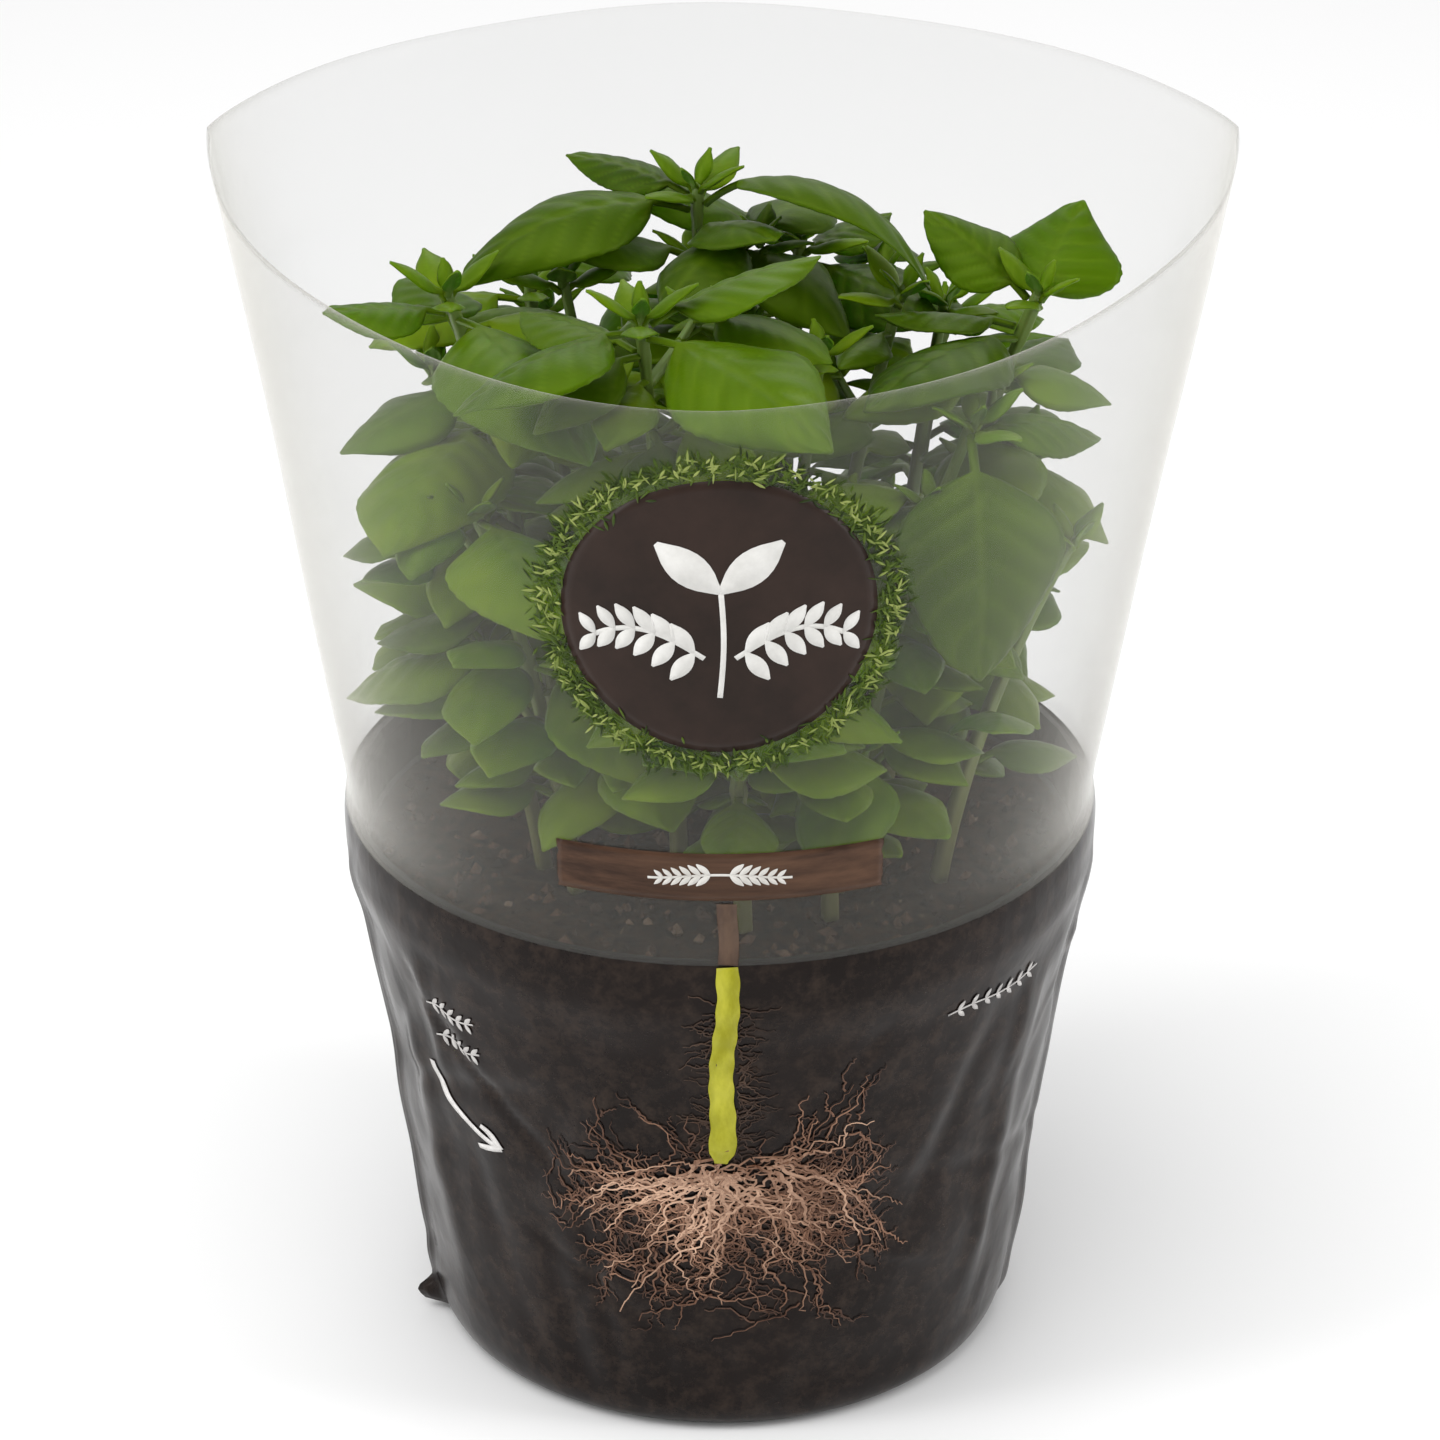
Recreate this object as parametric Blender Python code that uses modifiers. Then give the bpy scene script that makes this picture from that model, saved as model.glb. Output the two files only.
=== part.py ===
"""A potted basil plant: a plastic pot of soil in a flared film sleeve, with ten stems and their leaves.

Metres, +Z up, the front towards -Y. The origin is the middle of the sleeve's flat bottom. The pot stands in
the sleeve, the soil fills the pot, the stems grow out of the soil and every leaf starts beside its stem.
Lengths below are in millimetres until MM turns them into metres.
"""

import itertools
import math

import bmesh
import bpy
import numpy as np
from mathutils import Vector
from mathutils.bvhtree import BVHTree

MM = 0.001
GAP = 0.3

# Pot: a thin-walled 13 cm nursery pot with a banded rim and drain holes.
POT_RIM_RADIUS = 65.0
POT_RIM_TOP = 103.6
POT_BAND_BOTTOM = 92.0
POT_NECK_RADIUS = 60.2
POT_BASE_RADIUS = 46.4
POT_BASE_HEIGHT = 0.9
POT_WALL = 1.1
TURNED_STEPS = 40
DRAIN_HOLES = 6
DRAIN_HOLE_RADIUS = 3.2
DRAIN_CIRCLE_RADIUS = 32.0

# Soil: it reaches the lower edge of the rim band and is a little domed.
SOIL_EDGE_HEIGHT = 93.4
SOIL_DOME_HEIGHT = 95.4

# Sleeve: flat-made film, closed at the bottom, round at the pot's rim and almond-shaped at its mouth.
FILM = 0.4
SLEEVE_STEPS = 64
SLEEVE_FOOT_RADIUS = 48.0
SLEEVE_LOWER = (
    (1.4, 51.2),
    (5.0, 52.6),
    (7.5, 53.0),
    (30.0, 56.0),
    (60.0, 59.6),
    (84.0, 64.0),
    (94.0, 66.5),
    (101.0, 66.8),
    (107.0, 66.0),
)
SLEEVE_CONE_START = 112.0
SLEEVE_CONE_RADIUS = 66.6
MOUTH_HALF_WIDTH = 86.6
MOUTH_HALF_DEPTH = 77.0
MOUTH_ROWS = 5
MOUTH_POWER = 1.8
MOUTH_FRONT_HEIGHT = 209.5
MOUTH_CORNER_HEIGHT = 227.5
MOUTH_BACK_HEIGHT = 222.0
EAR_REACH = 4.4
EAR_ANGLE = math.radians(191.25)
EAR_TOP = 6.0

# Stems: each shoot's foot on the soil and its growing tip.
STEM_FOOT_RADIUS = 1.7
STEM_TIP_RADIUS = 0.9
STEM_POINTS = 12
SHOOTS = {
    "front": ((-7, -22), (-13, -40, 210)),
    "left": ((-26, -4), (-46, -8, 201)),
    "top": ((-3, 8), (-4, 15, 211)),
    "right": ((28, -2), (54, -8, 201)),
    "back": ((10, 24), (14, 25, 197)),
    "front_right": ((20, -26), (42, -33, 188)),
    "front_left": ((-25, -26), (-41, -33, 172)),
    "low_front": ((4, -40), (2, -48, 148)),
    "back_left": ((-22, 24), (-34, 32, 186)),
    "back_right": ((30, 24), (40, 32, 180)),
}

# Leaves: (distance below the tip, bearing, rise, droop, length, width, roll), in mm and degrees. A bearing of
# 0 is +X and -90 faces the front, and a leaf rises at its stem by "rise" and bends down by "droop" to its tip.
LEAF_THICKNESS = 0.5
LEAF_ALONG = 9
LEAF_ACROSS = 4
PETIOLE_SHARE = 0.16
PETIOLE_HALF_WIDTH = 0.7
LEAF_TIP_HALF_WIDTH = 0.3
LEAF_CUP = 0.75
LEAVES = {
    "front": (
        (4, -46, 11, 40, 56, 33, 14),
        (2, 20, 30, 30, 31, 20, -14),
        (3, -137, 12, 44, 36, 24, 16),
        (8, 137, 12, 26, 27, 18, 10),
        (30, -100, 5, 60, 40, 26, 0),
        (33, 60, 10, 40, 34, 22, 0),
    ),
    "left": (
        (4, -168, 16, 22, 21, 16, 0),
        (5, -62, 14, 46, 50, 31, -6),
        (9, 112, 22, 40, 26, 16, 0),
        (26, -95, -10, 60, 42, 27, 0),
        (32, 150, 4, 50, 24, 18, 0),
    ),
    "top": (
        (3, -24, 46, 116, 51, 21, -24),
        (4, -156, 26, 72, 46, 20, -14),
        (2, 150, 22, 32, 25, 12, -8),
        (28, -80, 18, 56, 38, 25, 0),
        (30, 100, 15, 50, 36, 24, 0),
    ),
    "right": (
        (2, 145, 40, 24, 24, 15, -20),
        (7, 176, 16, 26, 24, 19, 24),
        (5, 62, 52, 34, 24, 23, 8),
        (9, -132, 22, 46, 40, 26, 8),
        (36, -90, 5, 55, 30, 24, 0),
        (38, 80, 10, 50, 34, 22, 0),
    ),
    "back": (
        (1, 172, 32, 24, 40, 17, 0),
        (3, 40, 20, 26, 20, 13, 0),
        (4, -38, 6, 30, 30, 19, 12),
        (30, 95, 15, 50, 38, 25, 0),
    ),
    "front_right": (
        (2, -84, 2, 78, 44, 30, 0),
        (3, 20, 20, 60, 24, 18, 0),
        (34, -40, 5, 50, 36, 25, 0),
        (36, -130, 5, 60, 38, 26, 0),
    ),
    "front_left": (
        (2, -110, 15, 60, 34, 24, 0),
        (3, 70, 15, 50, 30, 20, 0),
        (30, -150, 8, 60, 34, 24, 0),
        (32, -40, 5, 55, 36, 24, 0),
    ),
    "low_front": (
        (1, -140, 20, 60, 28, 18, 0),
        (2, -20, 20, 60, 30, 19, 0),
        (24, -90, 5, 50, 20, 14, 0),
    ),
    "back_left": (
        (2, 100, 20, 60, 38, 26, 0),
        (3, -160, 20, 60, 30, 22, 0),
        (32, 170, 5, 50, 34, 24, 0),
        (34, -30, 15, 50, 26, 18, 0),
    ),
    "back_right": (
        (2, 30, 20, 60, 32, 23, 0),
        (3, 115, 20, 60, 36, 24, 0),
        (32, 60, 5, 50, 34, 24, 0),
        (34, -150, 15, 50, 26, 18, 0),
    ),
}

# A leaf that would touch a neighbour is turned, lifted or kept smaller, by the least of these that clears it.
TURNS = (0, 9, -9, 18, -18, 30, -30, 44, -44, 60, -60)
LIFTS = (0, 9, -9, 18, -18, 30, -30)
SIZES = (1.0, 0.9, 0.78, 0.64)
LEAF_CLEARANCE = 0.95
STEM_CLEARANCE = 0.5
FILM_CLEARANCE = 1.3

COLOURS = {
    "pot": ((0.012, 0.011, 0.010), 0.5),
    "soil": ((0.035, 0.022, 0.015), 0.95),
    "film": ((0.78, 0.80, 0.80), 0.12),
    "stem": ((0.20, 0.36, 0.07), 0.5),
    "leaf": ((0.08, 0.19, 0.015), 0.42),
}


def clear_scene():
    for thing in list(bpy.data.objects):
        bpy.data.objects.remove(thing)


def make_collection(name):
    collection = bpy.data.collections.new(name)
    bpy.context.scene.collection.children.link(collection)
    return collection


def material(name, kind):
    """A Principled material in the colour and roughness of one kind of piece."""
    colour, roughness = COLOURS[kind]
    made = bpy.data.materials.new(name)
    made.use_nodes = True
    shader = made.node_tree.nodes["Principled BSDF"]
    shader.inputs["Base Color"].default_value = (*colour, 1.0)
    shader.inputs["Roughness"].default_value = roughness
    return made


def add_object(name, data, kind, collection):
    thing = bpy.data.objects.new(name, data)
    data.materials.append(material(name, kind))
    collection.objects.link(thing)
    return thing


def turned(name, profile, kind, collection):
    """A solid turned about Z from (radius, height) points that run down the outside and back up the inside."""
    shape = bmesh.new()
    points = [shape.verts.new((r * MM, 0, z * MM)) for r, z in profile]
    for a, b in zip(points, points[1:]):
        shape.edges.new((a, b))
    mesh = bpy.data.meshes.new(name)
    shape.to_mesh(mesh)
    shape.free()
    thing = add_object(name, mesh, kind, collection)
    screw = thing.modifiers.new("turn", "SCREW")
    screw.steps = TURNED_STEPS
    screw.render_steps = TURNED_STEPS
    screw.use_merge_vertices = True
    screw.merge_threshold = 0.00001
    screw.use_normal_calculate = False
    return thing


def drain_hole_cutter(angle, collection):
    cutter_height = 8.0
    bpy.ops.mesh.primitive_cylinder_add(
        vertices=16,
        radius=DRAIN_HOLE_RADIUS * MM,
        depth=cutter_height * MM,
        location=(
            DRAIN_CIRCLE_RADIUS * MM * math.cos(angle),
            DRAIN_CIRCLE_RADIUS * MM * math.sin(angle),
            POT_BASE_HEIGHT * MM,
        ),
    )
    cutter = bpy.context.object
    cutter.name = "drain_hole_cutter"
    cutter.hide_render = True
    cutter.display_type = "WIRE"
    for owner in list(cutter.users_collection):
        owner.objects.unlink(cutter)
    collection.objects.link(cutter)
    return cutter


def make_pot(collection, cutters):
    """The pot's wall steps out into a band under the rim, and the rim ends in a small lip."""
    inside = POT_BASE_HEIGHT + POT_WALL
    lip = 0.6
    profile = (
        (POT_RIM_RADIUS + lip, POT_RIM_TOP),
        (POT_RIM_RADIUS + lip, POT_RIM_TOP - 1.6),
        (POT_RIM_RADIUS - 0.1, POT_RIM_TOP - 2.2),
        (POT_RIM_RADIUS - 0.5, POT_BAND_BOTTOM),
        (POT_NECK_RADIUS, POT_BAND_BOTTOM - 1.4),
        (POT_BASE_RADIUS + 0.8, POT_BASE_HEIGHT + 1.2),
        (POT_BASE_RADIUS, POT_BASE_HEIGHT),
        (0, POT_BASE_HEIGHT),
        (0, inside),
        (POT_BASE_RADIUS - 0.4, inside),
        (POT_NECK_RADIUS - POT_WALL, POT_BAND_BOTTOM - 0.6),
        (POT_RIM_RADIUS - 0.5 - POT_WALL, POT_BAND_BOTTOM + 1.0),
        (POT_RIM_RADIUS - 0.1 - POT_WALL, POT_RIM_TOP - 1.8),
        (POT_RIM_RADIUS + lip - POT_WALL, POT_RIM_TOP),
        (POT_RIM_RADIUS + lip, POT_RIM_TOP),
    )
    pot = turned("pot", profile, "pot", collection)
    for number in range(DRAIN_HOLES):
        angle = 2 * math.pi * number / DRAIN_HOLES
        hole = pot.modifiers.new("drain_hole", "BOOLEAN")
        hole.operation = "DIFFERENCE"
        hole.object = drain_hole_cutter(angle, cutters)
    return pot


def make_soil(collection):
    """The soil follows the pot's inner wall at a small gap and rises a little towards the middle."""
    floor = POT_BASE_HEIGHT + POT_WALL + GAP
    neck = POT_NECK_RADIUS - POT_WALL - 3 * GAP
    edge = POT_RIM_RADIUS - 0.5 - POT_WALL - 3 * GAP
    profile = (
        (0, SOIL_DOME_HEIGHT),
        (28, SOIL_DOME_HEIGHT - 0.4),
        (50, SOIL_DOME_HEIGHT - 1.2),
        (edge, SOIL_EDGE_HEIGHT),
        (neck, POT_BAND_BOTTOM - 0.6),
        (POT_BASE_RADIUS - 0.4 - 2 * GAP, floor),
        (0, floor),
    )
    return turned("soil", profile, "soil", collection)


def mouth_height(angle):
    """The film's top edge: a parabola over the front, and nearly level round the back, meeting at the corners."""
    turn = np.abs((np.degrees(angle) + 180) % 360 - 180)
    front = np.clip(1 - np.abs(np.degrees(angle) - 270) / 90, 0, 1)
    forward = (1 - front) ** 2
    backward = (np.abs(turn - 90) / 90) ** 4
    front_edge = MOUTH_FRONT_HEIGHT + (MOUTH_CORNER_HEIGHT - MOUTH_FRONT_HEIGHT) * forward
    back_edge = MOUTH_BACK_HEIGHT + (MOUTH_CORNER_HEIGHT - MOUTH_BACK_HEIGHT) * backward
    return np.where(np.sin(angle) < 0, front_edge, back_edge)


def sleeve_surface():
    """Rows of points up the film. Below the rim each row is a circle. Above it a row is a superellipse whose
    half width and half depth grow in a straight line to the mouth and whose power falls to a pointed oval."""
    angle = np.arange(SLEEVE_STEPS) * 2 * math.pi / SLEEVE_STEPS
    rows = []
    for height, radius in ((0.0, SLEEVE_FOOT_RADIUS), *SLEEVE_LOWER):
        ear = EAR_REACH * (np.abs(angle - EAR_ANGLE) < 0.01) * (0 < height < EAR_TOP)
        reach = radius + ear
        rows.append((reach * np.cos(angle), reach * np.sin(angle), np.full(SLEEVE_STEPS, height)))
    top = mouth_height(angle)
    for share in np.linspace(0, 1, MOUTH_ROWS):
        power = 2 + (MOUTH_POWER - 2) * share
        half_width = SLEEVE_CONE_RADIUS + (MOUTH_HALF_WIDTH - SLEEVE_CONE_RADIUS) * share
        half_depth = SLEEVE_CONE_RADIUS + (MOUTH_HALF_DEPTH - SLEEVE_CONE_RADIUS) * share
        x = half_width * np.sign(np.cos(angle)) * np.abs(np.cos(angle)) ** (2 / power)
        y = half_depth * np.sign(np.sin(angle)) * np.abs(np.sin(angle)) ** (2 / power)
        rows.append((x, y, SLEEVE_CONE_START + (top - SLEEVE_CONE_START) * share))
    return np.array(rows).transpose(0, 2, 1) * MM


def make_sleeve(collection):
    """A loft through the film's rows with a flat bottom, thickened inwards."""
    rows = sleeve_surface()
    shape = bmesh.new()
    rings = [[shape.verts.new(point) for point in row] for row in rows]
    middle = shape.verts.new((0, 0, 0))
    for a in range(SLEEVE_STEPS):
        b = (a + 1) % SLEEVE_STEPS
        shape.faces.new((middle, rings[0][b], rings[0][a]))
        for low, high in zip(rings, rings[1:]):
            shape.faces.new((low[a], low[b], high[b], high[a]))
    mesh = bpy.data.meshes.new("sleeve")
    shape.to_mesh(mesh)
    shape.free()
    sleeve = add_object("sleeve", mesh, "film", collection)
    wall = sleeve.modifiers.new("film", "SOLIDIFY")
    wall.thickness = FILM * MM
    wall.offset = -1
    wall.use_rim = True
    return sleeve


def stem_path(shoot):
    """A stem stands nearly upright on the soil and leans out to its tip along a quadratic curve."""
    (foot_x, foot_y), tip = SHOOTS[shoot]
    soil = SOIL_DOME_HEIGHT + GAP + 0.1
    foot = np.array((foot_x, foot_y, soil), float)
    tip = np.array(tip, float)
    knee = foot + (tip - foot) * (0.25, 0.25, 0.5)
    t = np.linspace(0, 1, STEM_POINTS)[:, None]
    return (1 - t) ** 2 * foot + 2 * t * (1 - t) * knee + t**2 * tip


def make_stem(shoot, collection):
    """A tapering tube along the stem's curve, from the soil to the tip."""
    path = stem_path(shoot)
    curve = bpy.data.curves.new(f"stem_{shoot}", "CURVE")
    curve.dimensions = "3D"
    curve.bevel_depth = STEM_FOOT_RADIUS * MM
    curve.bevel_resolution = 1
    curve.use_fill_caps = True
    line = curve.splines.new("POLY")
    line.points.add(len(path) - 1)
    taper = np.linspace(1, STEM_TIP_RADIUS / STEM_FOOT_RADIUS, len(path))
    for point, place, radius in zip(line.points, path, taper):
        point.co = (*(place * MM), 1)
        point.radius = radius
    return add_object(f"stem_{shoot}", curve, "stem", collection)


def on_stem(shoot, below):
    """The point on a stem's axis at a distance below its tip, and the stem's radius there."""
    path = stem_path(shoot)[::-1]
    steps = np.linalg.norm(np.diff(path, axis=0), axis=1)
    run = np.concatenate([[0], np.cumsum(steps)])
    place = np.array([np.interp(below, run, path[:, axis]) for axis in range(3)])
    radius = STEM_TIP_RADIUS + (STEM_FOOT_RADIUS - STEM_TIP_RADIUS) * below / run[-1]
    return place, radius


def leaf_half_width(share, width):
    """A narrow stalk, then an egg-shaped blade that is widest at two fifths and runs out to a pointed tip."""
    u = np.clip((share - PETIOLE_SHARE) / (1 - PETIOLE_SHARE), 0, 1)
    blade = 2.62 * u**0.55 * (1 - u) ** 0.9 * width / 2
    least = np.where(u < 0.5, PETIOLE_HALF_WIDTH, LEAF_TIP_HALF_WIDTH)
    return np.maximum(blade, least)


def leaf_surface(shoot, below, bearing, rise, droop, length, width, roll):
    """The leaf's middle sheet. Its midrib starts at the stem and its slope falls evenly from rise to
    rise - droop, and each cross-section is an arc of the leaf's width, bent down at both edges."""
    axis, radius = on_stem(shoot, below)
    bearing, rise, droop, roll = np.radians((bearing, rise, droop, roll))
    heading = np.array((math.cos(bearing), math.sin(bearing), 0))
    share = np.linspace(0, 1, LEAF_ALONG)
    slope = rise - droop * share
    step = length / (LEAF_ALONG - 1)
    mean_slope = (slope[1:] + slope[:-1]) / 2
    run = np.concatenate([[0], np.cumsum(np.cos(mean_slope) * step)])
    climb = np.concatenate([[0], np.cumsum(np.sin(mean_slope) * step)])
    start = axis + heading * (radius + GAP + 0.4)
    midrib = start + run[:, None] * heading + climb[:, None] * np.array((0, 0, 1))
    side = np.array((-math.sin(bearing), math.cos(bearing), 0))
    up = -np.sin(slope)[:, None] * heading + np.cos(slope)[:, None] * np.array((0, 0, 1))
    across = side * math.cos(roll) + up * math.sin(roll)
    up = up * math.cos(roll) - side * math.sin(roll)
    v = np.linspace(-1, 1, LEAF_ACROSS + 1) * LEAF_CUP
    half = leaf_half_width(share, width)[:, None, None]
    sheet = across[:, None] * np.sin(v)[None, :, None] - up[:, None] * (1 - np.cos(v))[None, :, None]
    return midrib[:, None] + half / LEAF_CUP * sheet


def grid_faces(rows, columns):
    """The quads of a grid of points, in order along its rows."""
    corner = np.arange(rows * columns).reshape(rows, columns)
    quads = np.stack([corner[:-1, :-1], corner[1:, :-1], corner[1:, 1:], corner[:-1, 1:]], axis=-1)
    return quads.reshape(-1, 4).tolist()


def tree_of(points, faces):
    return BVHTree.FromPolygons([tuple(point) for point in points], faces)


def mesh_tree(thing):
    """The points and search tree of an object's evaluated mesh, in millimetres."""
    graph = bpy.context.evaluated_depsgraph_get()
    mesh = bpy.data.meshes.new_from_object(thing.evaluated_get(graph))
    points = np.array([tuple(vertex.co) for vertex in mesh.vertices]) / MM
    faces = [list(face.vertices) for face in mesh.polygons]
    bpy.data.meshes.remove(mesh)
    return points, tree_of(points, faces)


def touches(points, tree, other, clearance):
    """Whether two sheets cross, or a point of one comes closer to the other than the clearance."""
    other_points, other_tree = other
    low = points.min(axis=0) - clearance
    high = points.max(axis=0) + clearance
    inside = ((other_points > low) & (other_points < high)).all(axis=1)
    if tree.overlap(other_tree):
        return True
    if any(other_tree.find_nearest(Vector(point), clearance)[0] is not None for point in points):
        return True
    return any(tree.find_nearest(Vector(point), clearance)[0] is not None for point in other_points[inside])


def tries():
    """Every (turn, lift, size), the least change first."""
    every = itertools.product(TURNS, LIFTS, SIZES)
    return sorted(every, key=lambda t: abs(t[0]) / 9 + abs(t[1]) / 7 + (1 - t[2]) * 14)


def place_leaf(shoot, numbers, neighbours):
    """The first sheet, among the tries, that is clear of every neighbour."""
    below, bearing, rise, droop, length, width, roll = numbers
    for turn, lift, size in tries():
        sheet = leaf_surface(
            shoot, below, bearing + turn, rise + lift, droop, length * size, width * size, roll
        )
        points = sheet.reshape(-1, 3)
        tree = tree_of(points, grid_faces(*sheet.shape[:2]))
        if not any(touches(points, tree, other, clearance) for other, clearance in neighbours):
            return sheet, (points, tree)
    raise ValueError(f"no clear place for a leaf {below} mm below the tip of {shoot}")


def make_leaf(name, sheet, collection):
    """A grid bent to the leaf's sheet and thickened evenly about it."""
    rows, columns = sheet.shape[:2]
    mesh = bpy.data.meshes.new(name)
    mesh.from_pydata((sheet.reshape(-1, 3) * MM).tolist(), [], grid_faces(rows, columns))
    leaf = add_object(name, mesh, "leaf", collection)
    blade = leaf.modifiers.new("blade", "SOLIDIFY")
    blade.thickness = LEAF_THICKNESS * MM
    blade.offset = 0
    blade.use_rim = True
    mesh.shade_smooth()
    return leaf


def make_leaves(collection, neighbours):
    """Upper leaves are placed first on every shoot, so that the lower ones make room for them."""
    order = [(shoot, number) for shoot, leaves in LEAVES.items() for number in range(len(leaves))]
    order.sort(key=lambda item: LEAVES[item[0]][item[1]][0] > 12)
    for shoot, number in order:
        sheet, solid = place_leaf(shoot, LEAVES[shoot][number], neighbours)
        make_leaf(f"leaf_{shoot}_{number + 1}", sheet, collection)
        neighbours.append((solid, LEAF_CLEARANCE))


def main():
    clear_scene()
    plant = make_collection("potted_basil")
    cutters = make_collection("cutters")
    make_pot(plant, cutters)
    make_soil(plant)
    sleeve = make_sleeve(plant)
    stems = [make_stem(shoot, plant) for shoot in SHOOTS]
    bpy.context.view_layer.update()
    neighbours = [(mesh_tree(sleeve), FILM_CLEARANCE)]
    neighbours += [(mesh_tree(stem), STEM_CLEARANCE) for stem in stems]
    make_leaves(plant, neighbours)


main()
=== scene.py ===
"""The potted basil plant's looks: veined leaves, ribbed stems, crumbly soil, a black pot, and a flared film
sleeve that is clear above the pot and printed with soil, roots and a leafy badge on its front.

Lengths in the constants and functions are millimetres; MM turns them into metres when a mesh is made.
"""

import math

import bpy
import numpy as np
from mathutils.bvhtree import BVHTree
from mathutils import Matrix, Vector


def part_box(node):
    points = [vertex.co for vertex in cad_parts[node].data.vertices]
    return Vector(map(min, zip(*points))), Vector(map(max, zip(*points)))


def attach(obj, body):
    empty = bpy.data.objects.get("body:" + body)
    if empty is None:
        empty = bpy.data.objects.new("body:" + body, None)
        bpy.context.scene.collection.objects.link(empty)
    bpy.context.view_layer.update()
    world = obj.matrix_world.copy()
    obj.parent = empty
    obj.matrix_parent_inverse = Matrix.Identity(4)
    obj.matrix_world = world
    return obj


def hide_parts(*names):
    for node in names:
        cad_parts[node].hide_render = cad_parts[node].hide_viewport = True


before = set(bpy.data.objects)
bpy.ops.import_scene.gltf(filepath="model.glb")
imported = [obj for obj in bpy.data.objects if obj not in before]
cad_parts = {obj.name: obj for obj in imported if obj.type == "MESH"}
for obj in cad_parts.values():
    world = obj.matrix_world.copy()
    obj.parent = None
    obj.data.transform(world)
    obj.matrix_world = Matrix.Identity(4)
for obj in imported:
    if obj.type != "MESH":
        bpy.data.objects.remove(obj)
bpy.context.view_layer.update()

MM = 0.001
UP = np.array((0.0, 0.0, 1.0))

# Camera: looking down on the front, with a long lens.
CAMERA_RISE = math.radians(27.0)
CAMERA_DISTANCE = 1.0
CAMERA_TARGET_HEIGHT = 0.1158
CAMERA_LENS = 141.4

# Film: the sleeve's radius at heights below the cone, and its mouth.
FILM_THICKNESS = 0.2
FILM_PROFILE = (
    (0.0, 48.0),
    (1.4, 51.2),
    (5.0, 52.6),
    (7.5, 53.0),
    (30.0, 56.0),
    (60.0, 59.6),
    (84.0, 64.0),
    (94.0, 66.5),
    (101.0, 66.8),
    (107.0, 66.0),
    (112.0, 66.6),
)
CONE_START = 112.0
CONE_RADIUS = 66.6
MOUTH_HALF_WIDTH = 86.6
MOUTH_HALF_DEPTH = 77.0
MOUTH_POWER = 1.8
MOUTH_FRONT = 209.5
MOUTH_CORNER = 227.5
MOUTH_BACK = 222.0
PRINT_TOP = 103.4
FILM_COLUMNS = 288
EAR_ANGLE = math.radians(191.25)
EAR_RADIUS = 53
SEAM_ANGLE = math.radians(-9)
FOLD_RADIUS = 58
INK_THICKNESS = 0.05

# Shoots: each stem's foot on the soil and its growing tip.
SOIL_DOME = 95.4
STEM_FOOT_RADIUS = 1.7
STEM_TIP_RADIUS = 0.9
SHOOTS = {
    "front": ((-7, -22), (-13, -40, 210)),
    "left": ((-26, -4), (-46, -8, 201)),
    "top": ((-3, 8), (-4, 15, 211)),
    "right": ((28, -2), (54, -8, 201)),
    "back": ((10, 24), (14, 25, 197)),
    "front_right": ((20, -26), (42, -33, 188)),
    "front_left": ((-25, -26), (-41, -33, 172)),
    "low_front": ((4, -40), (2, -48, 148)),
    "back_left": ((-22, 24), (-34, 32, 186)),
    "back_right": ((30, 24), (40, 32, 180)),
}

# Slighter shoots that fill the plant out between the others; each is shifted a little where a leaf is
# in its way.
FILL_SHOOTS = {
    "fill_right": ((14, 2), (31, 2, 197)),
    "fill_left": ((-14, 8), (-27, 8, 197)),
    "fill_middle": ((8, -12), (17, -20, 195)),
    "fill_back": ((-6, 30), (-12, 37, 184)),
    "fill_back_right": ((18, 12), (30, 22, 188)),
    "fill_side": ((38, 6), (52, 12, 180)),
    "fill_far_left": ((-38, 8), (-50, 14, 178)),
    "fill_low": ((14, -36), (20, -46, 160)),
    "fill_low_left": ((-14, -38), (-20, -48, 156)),
    "fill_wide": ((36, -18), (52, -26, 168)),
    "fill_wide_left": ((-38, -16), (-54, -22, 160)),
}

# How bright each shoot's leaves are, from old dark leaves at 0 to young ones at 1. Leaves low in the sleeve
# are lifted further towards 1 as painted light, standing in for the light that the film and the leaves above
# keep from them.
SHOOT_TONES = {
    "front": 0.72,
    "left": 0.62,
    "top": 0.30,
    "right": 0.45,
    "back": 0.25,
    "front_right": 0.55,
    "front_left": 0.65,
    "low_front": 0.7,
    "back_left": 0.4,
    "back_right": 0.45,
}

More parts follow.
